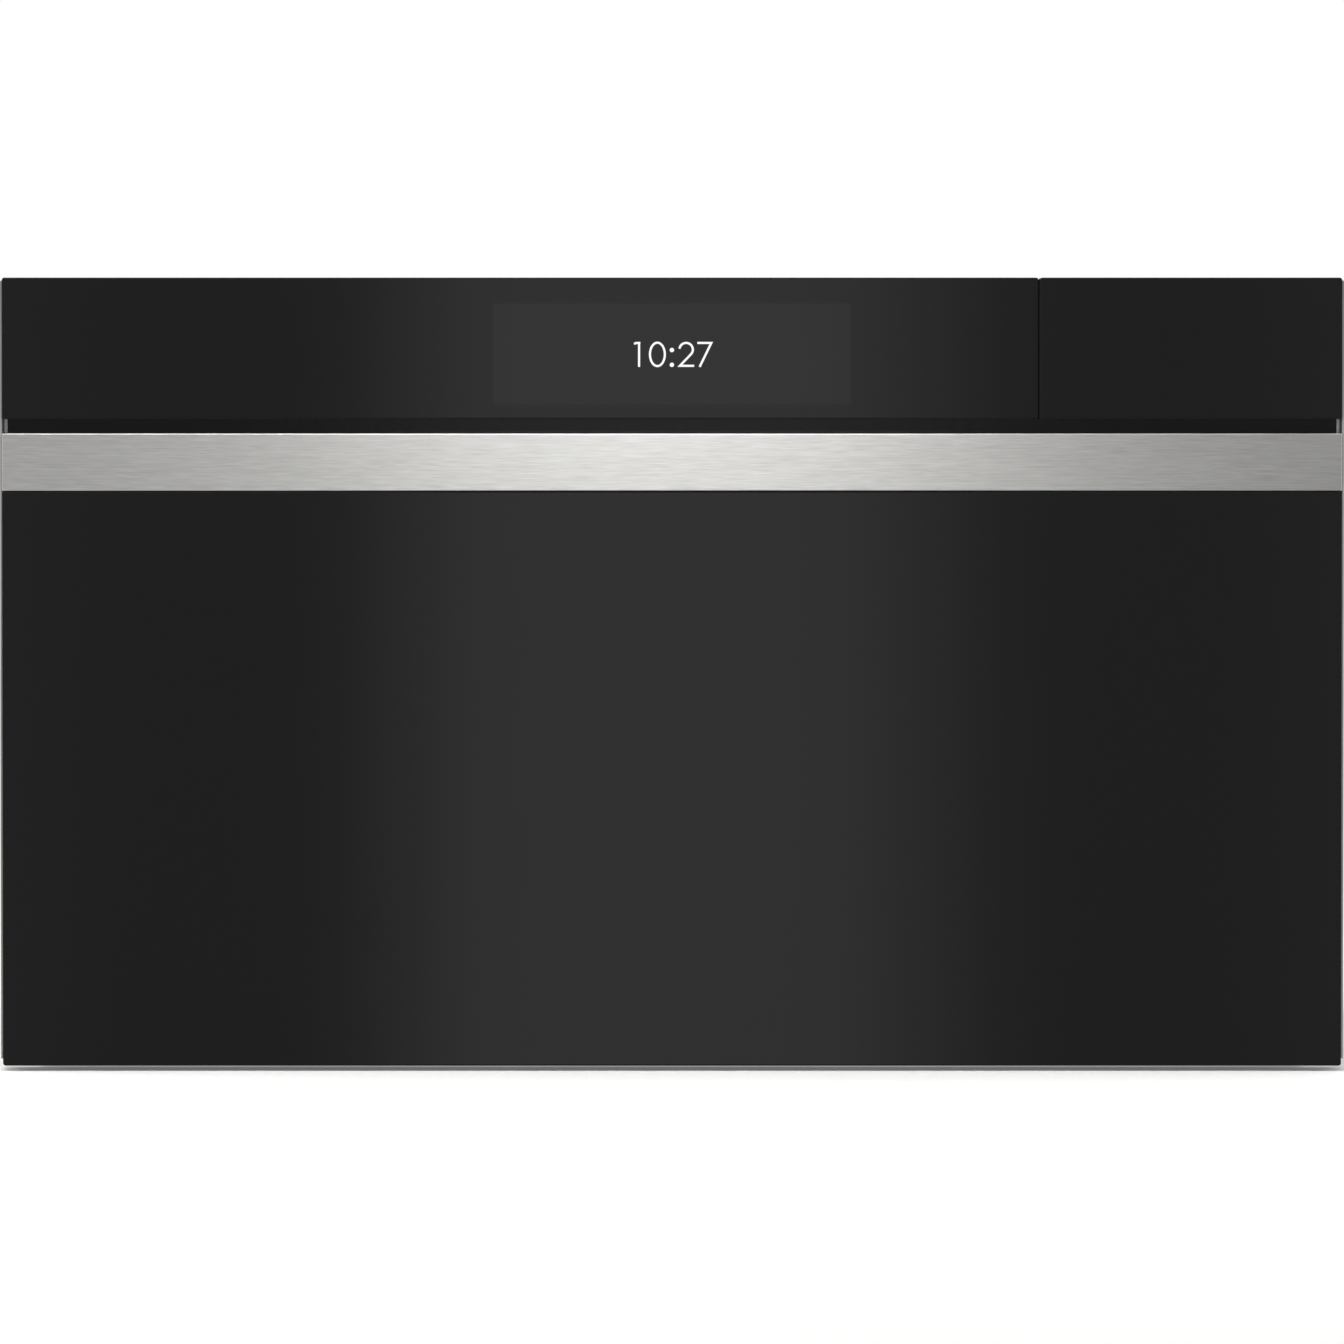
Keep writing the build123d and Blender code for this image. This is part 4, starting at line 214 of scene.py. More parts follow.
for name, place, target, size, power in (
        ("softbox over the front", (-0.008, -1.35, 0.84), (-0.003, front_y, 0.344), (0.34, 0.34), 3.25),
        ("strip light over the front edge", (-0.66, -0.90, 1.42), (-0.56, front_y, 0.36), (1.6, 0.10), 5.2),
        ("strip light above the pull", (-0.25, front_y - 0.10, 1.1), (-0.2, front_y, 0.36), (1.5, 0.05), 1.7),
        ("softbox overhead", (-0.4, -0.3, 3.2), (0.0, 0.0, 0.2), (2.4, 2.4), 30.0)):
    light = bpy.data.lights.new(name, "AREA")
    light.shape = "RECTANGLE"
    light.size, light.size_y = size
    light.energy = power
    lamp = show(name, light)
    lamp.location = place
    lamp.rotation_euler = (Vector(target) - Vector(place)).to_track_quat("-Z", "Y").to_euler()
    lamp.visible_camera = False


# Front panes: float glass, black enamel fired on the back of each, edges ground.
# Three lie in one plane: the door's, the control panel's and the water drawer's.
# The control pane has a slightly lighter window where the display glows.
ground_edge = 0.0003
split_front = 0.0004
split_back = 0.00075
split_depth = 0.002
display_middle_z = 0.4050
display_half = (0.1010, 0.0285)
display_glow = 0.0052


def finished_copy(node, radius, name, materials, segments=2):
    """A copy of a CAD node with its loose triangles joined and its sharp edges broken to a radius.

    The first material is the faces', and the last one is the broken edges'.
    """
    mesh = bmesh.new()
    mesh.from_mesh(nodes[node].data)
    bmesh.ops.remove_doubles(mesh, verts=mesh.verts, dist=1e-6)
    bmesh.ops.dissolve_limit(mesh, angle_limit=math.radians(0.5), verts=mesh.verts, edges=mesh.edges)
    for face in mesh.faces:
        face.smooth = False
    sharp = [e for e in mesh.edges if len(e.link_faces) == 2 and e.calc_face_angle(0.0) > math.radians(35)]
    bmesh.ops.bevel(mesh, geom=sharp, offset=radius, segments=segments, affect="EDGES", profile=0.5,
                    clamp_overlap=True, material=len(materials) - 1)
    data = bpy.data.meshes.new(name)
    mesh.to_mesh(data)
    mesh.free()
    for material in materials:
        data.materials.append(material)
    piece = show(name, data)
    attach(piece, nodes[node]["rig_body"])
    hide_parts(node)
    return piece


# Black enamelled float glass: a deep gloss with a faint wave, and a satin enamelled back.
black_glass, tree, shader = new_material("float glass, black enamelled back", IOR=1.5)
place = add_node(tree, "ShaderNodeTexCoord").outputs
facing = add_node(tree, "ShaderNodeSeparateXYZ", {0: place["Normal"]}).outputs["Y"]
front_side = add_node(tree, "ShaderNodeMapRange", {
    "Value": facing, "From Min": -0.80, "From Max": -0.98}).outputs[0]
haze = add_node(tree, "ShaderNodeTexNoise", {
    "Vector": place["Object"], "Scale": 14.0, "Detail": 3.0}).outputs["Fac"]
polish = add_node(tree, "ShaderNodeMapRange", {"Value": haze, "To Min": 0.015, "To Max": 0.045}).outputs[0]
rough = add_node(tree, "ShaderNodeMix", {"Factor": front_side, "A": 0.42, "B": polish}).outputs[0]
tone = add_node(tree, "ShaderNodeMixRGB", {
    "Fac": front_side, "Color1": linear("161818"), "Color2": linear("060606")}).outputs[0]
at = add_node(tree, "ShaderNodeSeparateXYZ", {0: place["Object"]}).outputs
from_middle = add_node(tree, "ShaderNodeMath", {0: at["Z"], 1: display_middle_z},
                       operation="SUBTRACT").outputs[0]
in_width = add_node(tree, "ShaderNodeMath", {0: at["X"], 1: 0.0, 2: display_half[0]},
                    operation="COMPARE").outputs[0]
in_height = add_node(tree, "ShaderNodeMath", {0: from_middle, 1: 0.0, 2: display_half[1]},
                     operation="COMPARE").outputs[0]
window = add_node(tree, "ShaderNodeMath", {0: in_width, 1: in_height}, operation="MULTIPLY").outputs[0]
lit = add_node(tree, "ShaderNodeMath", {0: window, 1: front_side}, operation="MULTIPLY").outputs[0]
glow = add_node(tree, "ShaderNodeMath", {0: lit, 1: display_glow}, operation="MULTIPLY").outputs[0]
shader.inputs["Emission Color"].default_value = (1.0, 1.0, 1.0, 1.0)
connect(tree, shader, Base_Color=tone, Roughness=rough, Emission_Strength=glow)

# Ground glass edge: the same glass left matt by the wheel, so it stays darker than the polished face.
ground_glass = patterned("float glass edge, wheel ground", (1200.0, 2.0), ("090A0A", "161817"), (0.50, 0.68),
                         IOR=1.5, Specular_IOR_Level=0.12)

for node in ("door_glass", "control_glass", "drawer_glass"):
    pane = finished_copy(node, ground_edge, node + "_ground", [black_glass, ground_glass])
# The drawer's pane, the last one made, comes close to its neighbour, and closer still at the back.
left_edge = min(corner.co.x for corner in pane.data.vertices)
for corner in pane.data.vertices:
    if corner.co.x < left_edge + 2 * ground_edge:
        corner.co.x -= split_front if corner.co.y < front_y + split_depth else split_back


# Clock figures on the display: thin strokes of even width, as the lit pixels
# draw them, lying just in front of the glass.
figure_y = front_y - 0.00012
millimetre = 0.001
figures_left = -26.47
figures_base = 397.76
figure_height = 14.1
stroke = 1.2


def stroke_ribbon(points, width, closed=False):
    """The outline quads of a line of even width in the display's plane, mitred at its corners."""
    count = len(points)
    sides = []
    for i, here in enumerate(points):
        before = points[(i - 1) % count] if closed or i else None
        after = points[(i + 1) % count] if closed or i < count - 1 else None
        runs = [(Vector(b) - Vector(a)).normalized() for a, b in ((before, here), (here, after)) if a and b]
        normals = [Vector((-r.y, r.x)) for r in runs]
        mean = sum(normals, Vector((0, 0))).normalized()
        reach = width / 2 / max(mean.dot(normals[0]), 0.35)
        sides.append((Vector(here) + mean * reach, Vector(here) - mean * reach))
    following = sides[1:] + sides[:1]
    pairs = list(zip(sides, following))
    return [(a[0], b[0], b[1], a[1]) for a, b in (pairs if closed else pairs[:-1])]


def arc(middle, radii, start, end, steps):
    """Points on an ellipse between two angles in degrees."""
    turns = [math.radians(start + (end - start) * i / steps) for i in range(steps + 1)]
    return [(middle[0] + radii[0] * math.cos(t), middle[1] + radii[1] * math.sin(t)) for t in turns]


# Each figure's line in millimetres, from figures_left and figures_base.
half = stroke / 2
top = figure_height - half
one = [(7.9, 0.0), (7.9, figure_height)]
flag = [(5.05, top - 0.55), (6.35, top), (8.6, top)]
zero = arc((18.23, figure_height / 2), (4.8 - half, 7.2 - half), 0, 360, 40)[:-1]
two = arc((34.45, 9.75), (3.78, 3.78), 172, -38, 24) + [(30.9, half), (38.95, half)]
seven = [(40.75, top), (48.65, top), (42.05, 0.0)]
quads = []
for line, loop in ((one, False), (flag, False), (zero, True), (two, False), (seven, False)):
    quads += stroke_ribbon(line, stroke, loop)
for dot_z in (1.15, 9.5):
    quads.append(arc((26.4, dot_z), (1.25, 1.25), 0, 360, 16)[:-1])
corners = []
faces = []
for face in quads:
    faces.append(tuple(range(len(corners), len(corners) + len(face))))
    corners += [((figures_left + x) * millimetre, figure_y, (figures_base + z) * millimetre) for x, z in face]
figures_mesh = bpy.data.meshes.new("clock_figures")
figures_mesh.from_pydata(corners, [], faces)
facing_front = bmesh.new()
facing_front.from_mesh(figures_mesh)
facing_front.normal_update()
bmesh.ops.reverse_faces(facing_front, faces=[f for f in facing_front.faces if f.normal.y > 0])
facing_front.to_mesh(figures_mesh)
facing_front.free()
figures = show("clock_figures", figures_mesh)

# Lit display pixels: white light with the panel's fine grid, so that the strokes read as lit, not painted.
lit_pixels, tree, shader = new_material("display pixels, lit white", Roughness=0.3)
where = add_node(tree, "ShaderNodeTexCoord").outputs["Object"]
grid = add_node(tree, "ShaderNodeTexChecker", {"Vector": where, "Scale": 5000.0}).outputs["Fac"]
shine = add_node(tree, "ShaderNodeMapRange", {"Value": grid, "To Min": 0.97, "To Max": 1.0}).outputs[0]
shader.inputs["Base Color"].default_value = linear("101010")
shader.inputs["Emission Color"].default_value = (1.0, 1.0, 1.0, 1.0)
connect(tree, shader, Emission_Strength=shine)
figures_mesh.materials.append(lit_pixels)
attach(figures, "oven_body")


# Pull strip: a folded stainless channel over the door's top edge, brushed along
# its length. Its top fold catches the light as a thin bright line.
strip_fold = 0.0010


def brushed_stainless(name, hairs, streaks, lengthwise):
    """Stainless steel brushed one way: hair lines of two sizes, and a highlight that spreads across them.

    The hairs and streaks are counts in a metre along each axis. The lengthwise direction is never square to a
    face, where a tangent would have no direction.
    """
    material, tree, shader = new_material(name, Metallic=1.0, Anisotropic=0.75, Anisotropic_Rotation=0.25)
    place = add_node(tree, "ShaderNodeTexCoord").outputs["Object"]
    along = add_node(tree, "ShaderNodeMapping", {"Vector": place, "Scale": hairs}).outputs[0]
    scratch = add_node(tree, "ShaderNodeTexNoise", {"Vector": along, "Scale": 1.0, "Detail": 2.0})
    long_along = add_node(tree, "ShaderNodeMapping", {"Vector": place, "Scale": streaks}).outputs[0]
    streak = add_node(tree, "ShaderNodeTexNoise", {"Vector": long_along, "Scale": 1.0, "Detail": 1.0})
    grain = add_node(tree, "ShaderNodeMix", {
        "Factor": 0.25, "A": scratch.outputs["Fac"], "B": streak.outputs["Fac"]}).outputs[0]
    shade = add_node(tree, "ShaderNodeMapRange", {"Value": grain, "From Min": 0.36, "From Max": 0.64})
    tone = add_node(tree, "ShaderNodeMixRGB", {
        "Fac": shade.outputs[0], "Color1": linear("C3C2BF"), "Color2": linear("D6D5D3")}).outputs[0]
    rough = add_node(tree, "ShaderNodeMapRange", {"Value": grain, "To Min": 0.28, "To Max": 0.36}).outputs[0]
    tangent = add_node(tree, "ShaderNodeVectorTransform", {0: lengthwise}, vector_type="VECTOR",
                       convert_from="OBJECT", convert_to="WORLD").outputs[0]
    connect(tree, shader, Base_Color=tone, Roughness=rough, Tangent=tangent)
    return material


# Brushed stainless: hair lines 14 mm long, so the light lies in a broad soft band across them. They are drawn
# 0.4 mm apart, coarser than the real ones, so that they show.
brushed_steel = brushed_stainless("stainless steel, brushed lengthwise",
                                  (70.0, 2500.0, 2500.0), (26.0, 1100.0, 1100.0), (1.0, 0.12, 0.0))
finished_copy("pull_strip", strip_fold, "pull_strip_folded", [brushed_steel], segments=4)


# Door frame: extruded aluminium rails between the panes, black anodised, glued to
# the back of the front pane. The foot below them is a folded steel channel,
# enamelled black as the front plate is.
rail_edge = 0.0004


def dress(material, *names):
    """The material goes on every slot of these CAD nodes."""
    for name in names:
        for holder in nodes[name].material_slots:
            holder.material = material


# Black anodised aluminium: a satin dark metal with faint lines from the extrusion die along its length.
black_anodised = patterned("aluminium extrusion, black anodised", (1.0, 2.0), ("1E1F21", "303134"),
                           (0.30, 0.46), relief=(0.15, 0.0002), stretch=(4.0, 900.0, 60.0), Metallic=1.0)
for node in ("door_top_rail", "door_columns"):
    finished_copy(node, rail_edge, node + "_extruded", [black_anodised])

# Vitreous enamel on steel: glassy black with a soft orange peel 4 mm across and fine pale specks.
black_enamel, tree, shader = new_material("vitreous enamel, black, fired on steel", IOR=1.5,
                                          Specular_IOR_Level=0.36)
place = add_node(tree, "ShaderNodeTexCoord").outputs["Object"]
peel = add_node(tree, "ShaderNodeTexNoise", {"Vector": place, "Scale": 260.0, "Detail": 2.0}).outputs["Fac"]
speck = add_node(tree, "ShaderNodeTexVoronoi", {"Vector": place, "Scale": 320.0}).outputs["Distance"]
mark = add_node(tree, "ShaderNodeMapRange", {"Value": speck, "From Min": 0.10, "From Max": 0.06}).outputs[0]
tone = add_node(tree, "ShaderNodeMixRGB", {
    "Fac": mark, "Color1": linear("0C0C0D"), "Color2": linear("4A4B4E")}).outputs[0]
rough = add_node(tree, "ShaderNodeMapRange", {"Value": peel, "To Min": 0.04, "To Max": 0.10}).outputs[0]
bump = add_node(tree, "ShaderNodeBump", {"Height": peel, "Strength": 0.04, "Distance": 0.0004}).outputs[0]
connect(tree, shader, Base_Color=tone, Roughness=rough, Normal=bump)
dress(black_enamel, "door_foot")


# Front plate: one pressed steel sheet, enamelled black, screwed to the casing. Its
# mouth follows the round corners of the cavity flange behind it, and the upper lip
# of its air slot comes down behind the pull strip.
plate_edge = 0.0003
# The mouth's corners, as packed and as pressed: how far out the arc's middle lies, and its radius. Then the
# height of that middle, as packed and as pressed, and whether the corner points down or up.
mouth_corner = (0.223, 0.014)
pressed_corner = (0.208, 0.029)
mouth_heights = ((0.065, 0.080, -1), (0.317, 0.302, 1))
middle_play = 0.01
arc_play = 0.05
slot_lip_z = 0.3612
slot_lip_drop = 0.0017
plate = finished_copy("front_plate", plate_edge, "front_plate_pressed", [black_enamel])
for corner in plate.data.vertices:
    if abs(corner.co.z - slot_lip_z) < 2 * plate_edge:
        corner.co.z -= slot_lip_drop
    for height, pressed_height, way in mouth_heights:
        beside = (abs(corner.co.x) - mouth_corner[0]) / mouth_corner[1]
        beyond = (corner.co.z - height) / mouth_corner[1]
        in_quarter = beside > -middle_play and beyond * way > -middle_play
        if in_quarter and abs(math.hypot(beside, beyond) - 1.0) < arc_play:
            corner.co.x = math.copysign(pressed_corner[0] + pressed_corner[1] * beside, corner.co.x)
            corner.co.z = pressed_height + pressed_corner[1] * beyond
            break


# Side trims: folded angles of the same stainless down both sides, screwed to the
# cabinet through their inner flanges. These lie behind the panes and are enamelled
# black, because they show through the finger gap.
trim_edge = 0.0002
trim_show_x = 0.3768
trim_steel = brushed_stainless("stainless steel, brushed up its height",
                               (2500.0, 2500.0, 70.0), (1100.0, 1100.0, 26.0), (0.03, 0.03, 1.0))
trims = finished_copy("side_trims", trim_edge, "side_trims_folded",
                      [trim_steel, black_enamel, trim_steel])
painted = bmesh.new()
painted.from_mesh(trims.data)
for side in (-1, 1):
    bmesh.ops.bisect_plane(painted, geom=painted.verts[:] + painted.edges[:] + painted.faces[:],
                           plane_co=(side * trim_show_x, 0.0, 0.0), plane_no=(1.0, 0.0, 0.0))
for face in painted.faces:
    if abs(face.calc_center_median().x) < trim_show_x:
        face.material_index = 1
painted.to_mesh(trims.data)
painted.free()


# Inner door panes: two sheets of clear float glass behind the front pane, each with
# a black border printed round its window. The inner one seals on the gasket.
border_x = 0.236
border_low_z = 0.052
border_high_z = 0.330
# Clear float glass: hard gloss, a faint green cast, and a satin black ceramic border.
clear_glass, tree, shader = new_material("float glass, clear, printed border", IOR=1.5)
place = add_node(tree, "ShaderNodeTexCoord").outputs["Object"]
at = add_node(tree, "ShaderNodeSeparateXYZ", {0: place}).outputs
off_side = add_node(tree, "ShaderNodeMath", {0: at["X"]}, operation="ABSOLUTE").outputs[0]
past_side = add_node(tree, "ShaderNodeMath", {0: off_side, 1: border_x}, operation="GREATER_THAN").outputs[0]
past_low = add_node(tree, "ShaderNodeMath", {0: at["Z"], 1: border_low_z}, operation="LESS_THAN").outputs[0]
past_high = add_node(tree, "ShaderNodeMath", {0: at["Z"], 1: border_high_z},
                     operation="GREATER_THAN").outputs[0]
past_ends = add_node(tree, "ShaderNodeMath", {0: past_low, 1: past_high}, operation="MAXIMUM").outputs[0]
border = add_node(tree, "ShaderNodeMath", {0: past_side, 1: past_ends}, operation="MAXIMUM").outputs[0]
wave = add_node(tree, "ShaderNodeTexNoise", {"Vector": place, "Scale": 9.0, "Detail": 2.0}).outputs["Fac"]
polish = add_node(tree, "ShaderNodeMapRange", {"Value": wave, "To Min": 0.0, "To Max": 0.03}).outputs[0]
rough = add_node(tree, "ShaderNodeMix", {"Factor": border, "A": polish, "B": 0.28}).outputs[0]
clear = add_node(tree, "ShaderNodeMath", {0: 1.0, 1: border}, operation="SUBTRACT").outputs[0]
tone = add_node(tree, "ShaderNodeMixRGB", {
    "Fac": border, "Color1": linear("E9F2EE"), "Color2": linear("0B0B0B")}).outputs[0]
connect(tree, shader, Base_Color=tone, Roughness=rough, Transmission_Weight=clear)
dress(clear_glass, "door_middle_glass", "door_inner_glass")


# Door hinges: zinc-plated channels, arms and sockets, one set each side. A coil
# spring round the rod in each channel balances the door. The water drawer's slides
# are plated the same.
rod_x = 0.351
rod_y = -0.26985
spring_low_z = 0.0623
spring_high_z = 0.1463
spring_radius = 0.0044
spring_wire = 0.0009
spring_turns = 17.0
# Zinc-plated spring steel: bright grey, with clouds 18 mm across from the passivation bath and a fine tooth
# from tumbling.
zinc_plated = patterned("spring steel, zinc plated", (55.0, 4.0), ("A3A8AE", "C3C6C6"), (0.22, 0.42),
                        relief=(0.08, 0.0001), fine=(900.0, 2.0), Metallic=1.0)
dress(zinc_plated, "hinge_channels", "hinge_arms", "hinge_sockets", "hinge_rods",
      "slides_outer", "slides_middle", "slides_inner")


def new_tree(name, sizes):
    """A Geometry Nodes tree that takes points or edges, with a named input for each size."""
    tree = bpy.data.node_groups.new(name, "GeometryNodeTree")
    tree.interface.new_socket("Geometry", in_out="INPUT", socket_type="NodeSocketGeometry")
    for size, kind in sizes.items():
        tree.interface.new_socket(size, in_out="INPUT", socket_type="NodeSocket" + kind)
    tree.interface.new_socket("Geometry", in_out="OUTPUT", socket_type="NodeSocketGeometry")
    return tree, tree.nodes.new("NodeGroupInput").outputs


def finish_tree(tree, geometry, material):
    """Ends a tree: its instances are made real and take their material."""
    real = add_node(tree, "GeometryNodeRealizeInstances", {"Geometry": geometry})
    coated = add_node(tree, "GeometryNodeSetMaterial", {"Geometry": real.outputs[0], "Material": material})
    add_node(tree, "NodeGroupOutput", {0: coated.outputs[0]})


def grow(tree, name, body, slot, points, edges=(), **sizes):
    """Runs a tree on these points and edges and keeps the result as a plain mesh on a body."""
    seed = bpy.data.meshes.new(name)
    seed.from_pydata(points, edges, [])
    host = show(name + "_host", seed)
    modifier = host.modifiers.new("tree", "NODES")
    modifier.node_group = tree
    for item in tree.interface.items_tree:
        if item.in_out == "INPUT" and item.name in sizes:
            modifier[item.identifier] = sizes[item.name]
    bpy.context.view_layer.update()
    made = host.evaluated_get(bpy.context.evaluated_depsgraph_get())
    mesh = bpy.data.meshes.new_from_object(made)
    bpy.data.objects.remove(host)
    piece = show(name, mesh)
    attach(piece, body)
    return piece


spring_tree, given = new_tree("coil spring on each point", {
    "Radius": "Float", "Height": "Float", "Turns": "Float", "Wire": "Float"})
helix = add_node(spring_tree, "GeometryNodeCurveSpiral", {
    "Resolution": 20, "Rotations": given["Turns"], "Start Radius": given["Radius"],
    "End Radius": given["Radius"], "Height": given["Height"]})
wire_end = add_node(spring_tree, "GeometryNodeCurvePrimitiveCircle", {
    "Resolution": 7, "Radius": given["Wire"]})
coil = add_node(spring_tree, "GeometryNodeCurveToMesh", {
    "Curve": helix.outputs[0], "Profile Curve": wire_end.outputs[0], "Fill Caps": True})
coils = add_node(spring_tree, "GeometryNodeInstanceOnPoints", {
    "Points": given["Geometry"], "Instance": coil.outputs[0]})
finish_tree(spring_tree, coils.outputs[0], zinc_plated)
springs = grow(spring_tree, "hinge_spring_coils", "door", "spring_steel",
               [(side * rod_x, rod_y, spring_low_z + spring_wire) for side in (-1, 1)],
               Radius=spring_radius, Height=spring_high_z - spring_low_z - 2 * spring_wire,
               Turns=spring_turns, Wire=spring_wire)
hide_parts("hinge_springs")
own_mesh(springs)


# Door gasket: an extruded silicone bulb, joined into a ring with round corners
# and pressed on the cavity flange. The inner door pane squeezes it when shut.
gasket_half_x = 0.230
gasket_low_z = 0.058
gasket_high_z = 0.324
gasket_y = -0.25365
gasket_bulb = 0.0034
gasket_corner = 0.022
# Silicone rubber: matt dark grey, with a soft bloom of talc 17 mm across.
silicone = patterned("silicone rubber, extruded", (60.0, 5.0), ("2A2B2D", "3B3D3F"), (0.55, 0.75),
                     relief=(0.1, 0.0001), fine=(1500.0, 1.0), IOR=1.41)
dress(silicone, "feed_hose", "steam_hose")


def wire_tree(name, material):
    """A tree that bends round wire along its host's edges, with a radius at every corner."""
    tree, given = new_tree(name, {"Wire": "Float", "Bend": "Float", "Sides": "Int"})
    path = add_node(tree, "GeometryNodeMeshToCurve", {0: given["Geometry"]})
    bent = add_node(tree, "GeometryNodeFilletCurve", {
        "Curve": path.outputs[0], "Count": 5, "Radius": given["Bend"], "Limit Radius": True}, mode="POLY")
    section = add_node(tree, "GeometryNodeCurvePrimitiveCircle", {
        "Resolution": given["Sides"], "Radius": given["Wire"]})
    swept = add_node(tree, "GeometryNodeCurveToMesh", {
        "Curve": bent.outputs[0], "Profile Curve": section.outputs[0], "Fill Caps": True})
    rounded = add_node(tree, "GeometryNodeSetShadeSmooth", {0: swept.outputs[0], "Shade Smooth": True})
    finish_tree(tree, rounded.outputs[0], material)
    return tree


def chain(runs, closed=False):
    """Points and edges of several open or closed runs of wire."""
    points, edges = [], []
    for run in runs:
        first = len(points)
        points += run
        edges += [(first + i, first + i + 1) for i in range(len(run) - 1)]
        if closed:
            edges.append((first + len(run) - 1, first))
    return points, edges


bulb_tree = wire_tree("silicone bulb round its ring", silicone)
ring = [(side * gasket_half_x, gasket_y, z) for side, z in (
    (-1, gasket_low_z), (1, gasket_low_z), (1, gasket_high_z), (-1, gasket_high_z))]
gasket = grow(bulb_tree, "door_gasket_bulb", "oven_body", "silicone", *chain([ring], closed=True),
              Wire=gasket_bulb, Bend=gasket_corner, Sides=14)
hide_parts("door_gasket")


# Cavity and what stands in it: pressed stainless sheet with a satin surface.
# The steam generator's boiler is of the same steel.
# Satin stainless: a soft rolled grain along the sheet, with clouds 60 mm across in its roughness. The grain
# is drawn 1.4 mm wide, coarser than the real one, so that it shows.
satin_steel, tree, shader = new_material("stainless steel, satin rolled", Metallic=1.0)
place = add_node(tree, "ShaderNodeTexCoord").outputs["Object"]
rolled = add_node(tree, "ShaderNodeMapping", {"Vector": place, "Scale": (700.0, 9.0, 700.0)}).outputs[0]
grain = add_node(tree, "ShaderNodeTexNoise", {"Vector": rolled, "Scale": 1.0, "Detail": 2.0}).outputs["Fac"]
cloud = add_node(tree, "ShaderNodeTexNoise", {"Vector": place, "Scale": 16.0, "Detail": 3.0}).outputs["Fac"]
mixed = add_node(tree, "ShaderNodeMix", {"Factor": 0.5, "A": grain, "B": cloud}).outputs[0]
tone = add_node(tree, "ShaderNodeMixRGB", {
    "Fac": mixed, "Color1": linear("A8A6A2"), "Color2": linear("C4C2BE")}).outputs[0]
rough = add_node(tree, "ShaderNodeMapRange", {"Value": mixed, "To Min": 0.24, "To Max": 0.42}).outputs[0]
bump = add_node(tree, "ShaderNodeBump", {"Height": grain, "Strength": 0.08, "Distance": 0.0001}).outputs[0]
connect(tree, shader, Base_Color=tone, Roughness=rough, Normal=bump)
dress(satin_steel, "cavity", "rear_baffle", "oven_tray", "convection_fan", "drain_sieve",
      "temperature_probe", "steam_generator")


# Rack guides and wire rack: drawn stainless wire, spot welded and polished.
# The guides stand on studs in the side walls, and the rack slides on the middle pair.
rail_x = 0.214
rail_wire = 0.0019
rail_overhang = 0.010
post_x = 0.216
post_wire = 0.0024
post_ends_y = (-0.22615, 0.11485)
post_ends_z = (0.086, 0.290)
stud_x = 0.2220
stud_inset = 0.010
rail_heights = [low + step for low in (0.104, 0.166, 0.228) for step in (0.0, 0.010)]
rack_z = 0.171
rack_wire = 0.0029
rack_side_x = 0.2075
rack_tongue_x = 0.21325
rack_ends_y = (-0.23615, 0.11485)
bar_wire = 0.0015
bar_pitch = 0.028
bar_count = 14
# Polished wire: near mirror bright, with faint drawing marks 2.4 mm apart.
bright_wire = patterned("stainless wire, drawn and polished", (420.0, 3.0), ("C2C2C0", "DADAD8"), (0.08, 0.2),
                        Metallic=1.0)
round_wire = wire_tree("round wire along its runs", bright_wire)
rails, posts = [], []
for side in (-1, 1):
    rails += [[(side * rail_x, post_ends_y[0] - rail_overhang, z),
               (side * rail_x, post_ends_y[1] + rail_overhang, z)] for z in rail_heights]
    posts += [[(side * post_x, y, post_ends_z[0]), (side * post_x, y, post_ends_z[1])] for y in post_ends_y]
    posts += [[(side * stud_x, y, z), (side * post_x, y, z)] for y in post_ends_y
              for z in (post_ends_z[0] + stud_inset, post_ends_z[1] - stud_inset)]
frame_runs = [[(-rack_tongue_x, y, rack_z), (rack_tongue_x, y, rack_z)] for y in rack_ends_y]
frame_runs += [[(side * rack_side_x, y, rack_z) for y in rack_ends_y] for side in (-1, 1)]
bars = [[((i - (bar_count - 1) / 2) * bar_pitch, y, rack_z) for y in rack_ends_y] for i in range(bar_count)]
for name, runs, wire, sides, stands_for in (
        ("rack_guide_rails", rails, rail_wire, 12, "rack_guides"),
        ("rack_guide_posts", posts, post_wire, 12, None),
        ("wire_rack_frame", frame_runs, rack_wire, 14, "wire_rack"),
        ("wire_rack_bars", bars, bar_wire, 10, None)):
    wires = grow(round_wire, name, "oven_body", "bright_wire", *chain(runs), Wire=wire, Bend=0.0, Sides=sides)
    if stands_for:
        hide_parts(stands_for)


# Ring heater: a tubular element bent once round the fan, its wire packed in powder
# inside a sheath of nickel alloy. Its two ends pass through the back wall.
# Oxidised sheath: dull brown grey, with blue and straw heat tint 40 mm across.
oxidised = patterned("nickel alloy sheath, oxidised", (24.0, 4.0), ("4A4038", "5E6068"), (0.38, 0.62),
                     Metallic=1.0)
dress(oxidised, "ring_heater")


# Cavity lamp: a pressed borosilicate cover in the left wall, clipped over its
# socket so that no steam reaches the bulb.
# Frosted glass: milky, with the fine tooth of acid etching.
frosted_glass = patterned("borosilicate glass, frosted", (900.0, 2.0), ("E2E1D8", "F0EFE8"), (0.35, 0.55),
                          IOR=1.47, Transmission_Weight=0.7)
dress(frosted_glass, "cavity_lamp")


# Insulation: a jacket of needled mineral wool round the cavity, cut from sheet and
# held by the casing.
# Mineral wool: pale straw fibres in layers 1 mm thick, fully matt.
mineral_wool = patterned("mineral wool, needled felt", (1.0, 6.0), ("A89C7A", "DDD4B8"), relief=(0.6, 0.002),
                         stretch=(90.0, 90.0, 900.0), Roughness=0.95)
dress(mineral_wool, "insulation")


# Casing: folded and screwed galvanised sheet, with runners under it, and the ducts
# and shelf inside. The rear panel's outer face is drawn 0.4 mm further in, so that
# its screw heads stay inside the oven's depth.
rear_y = 0.28725
sheet_edge = 0.0002
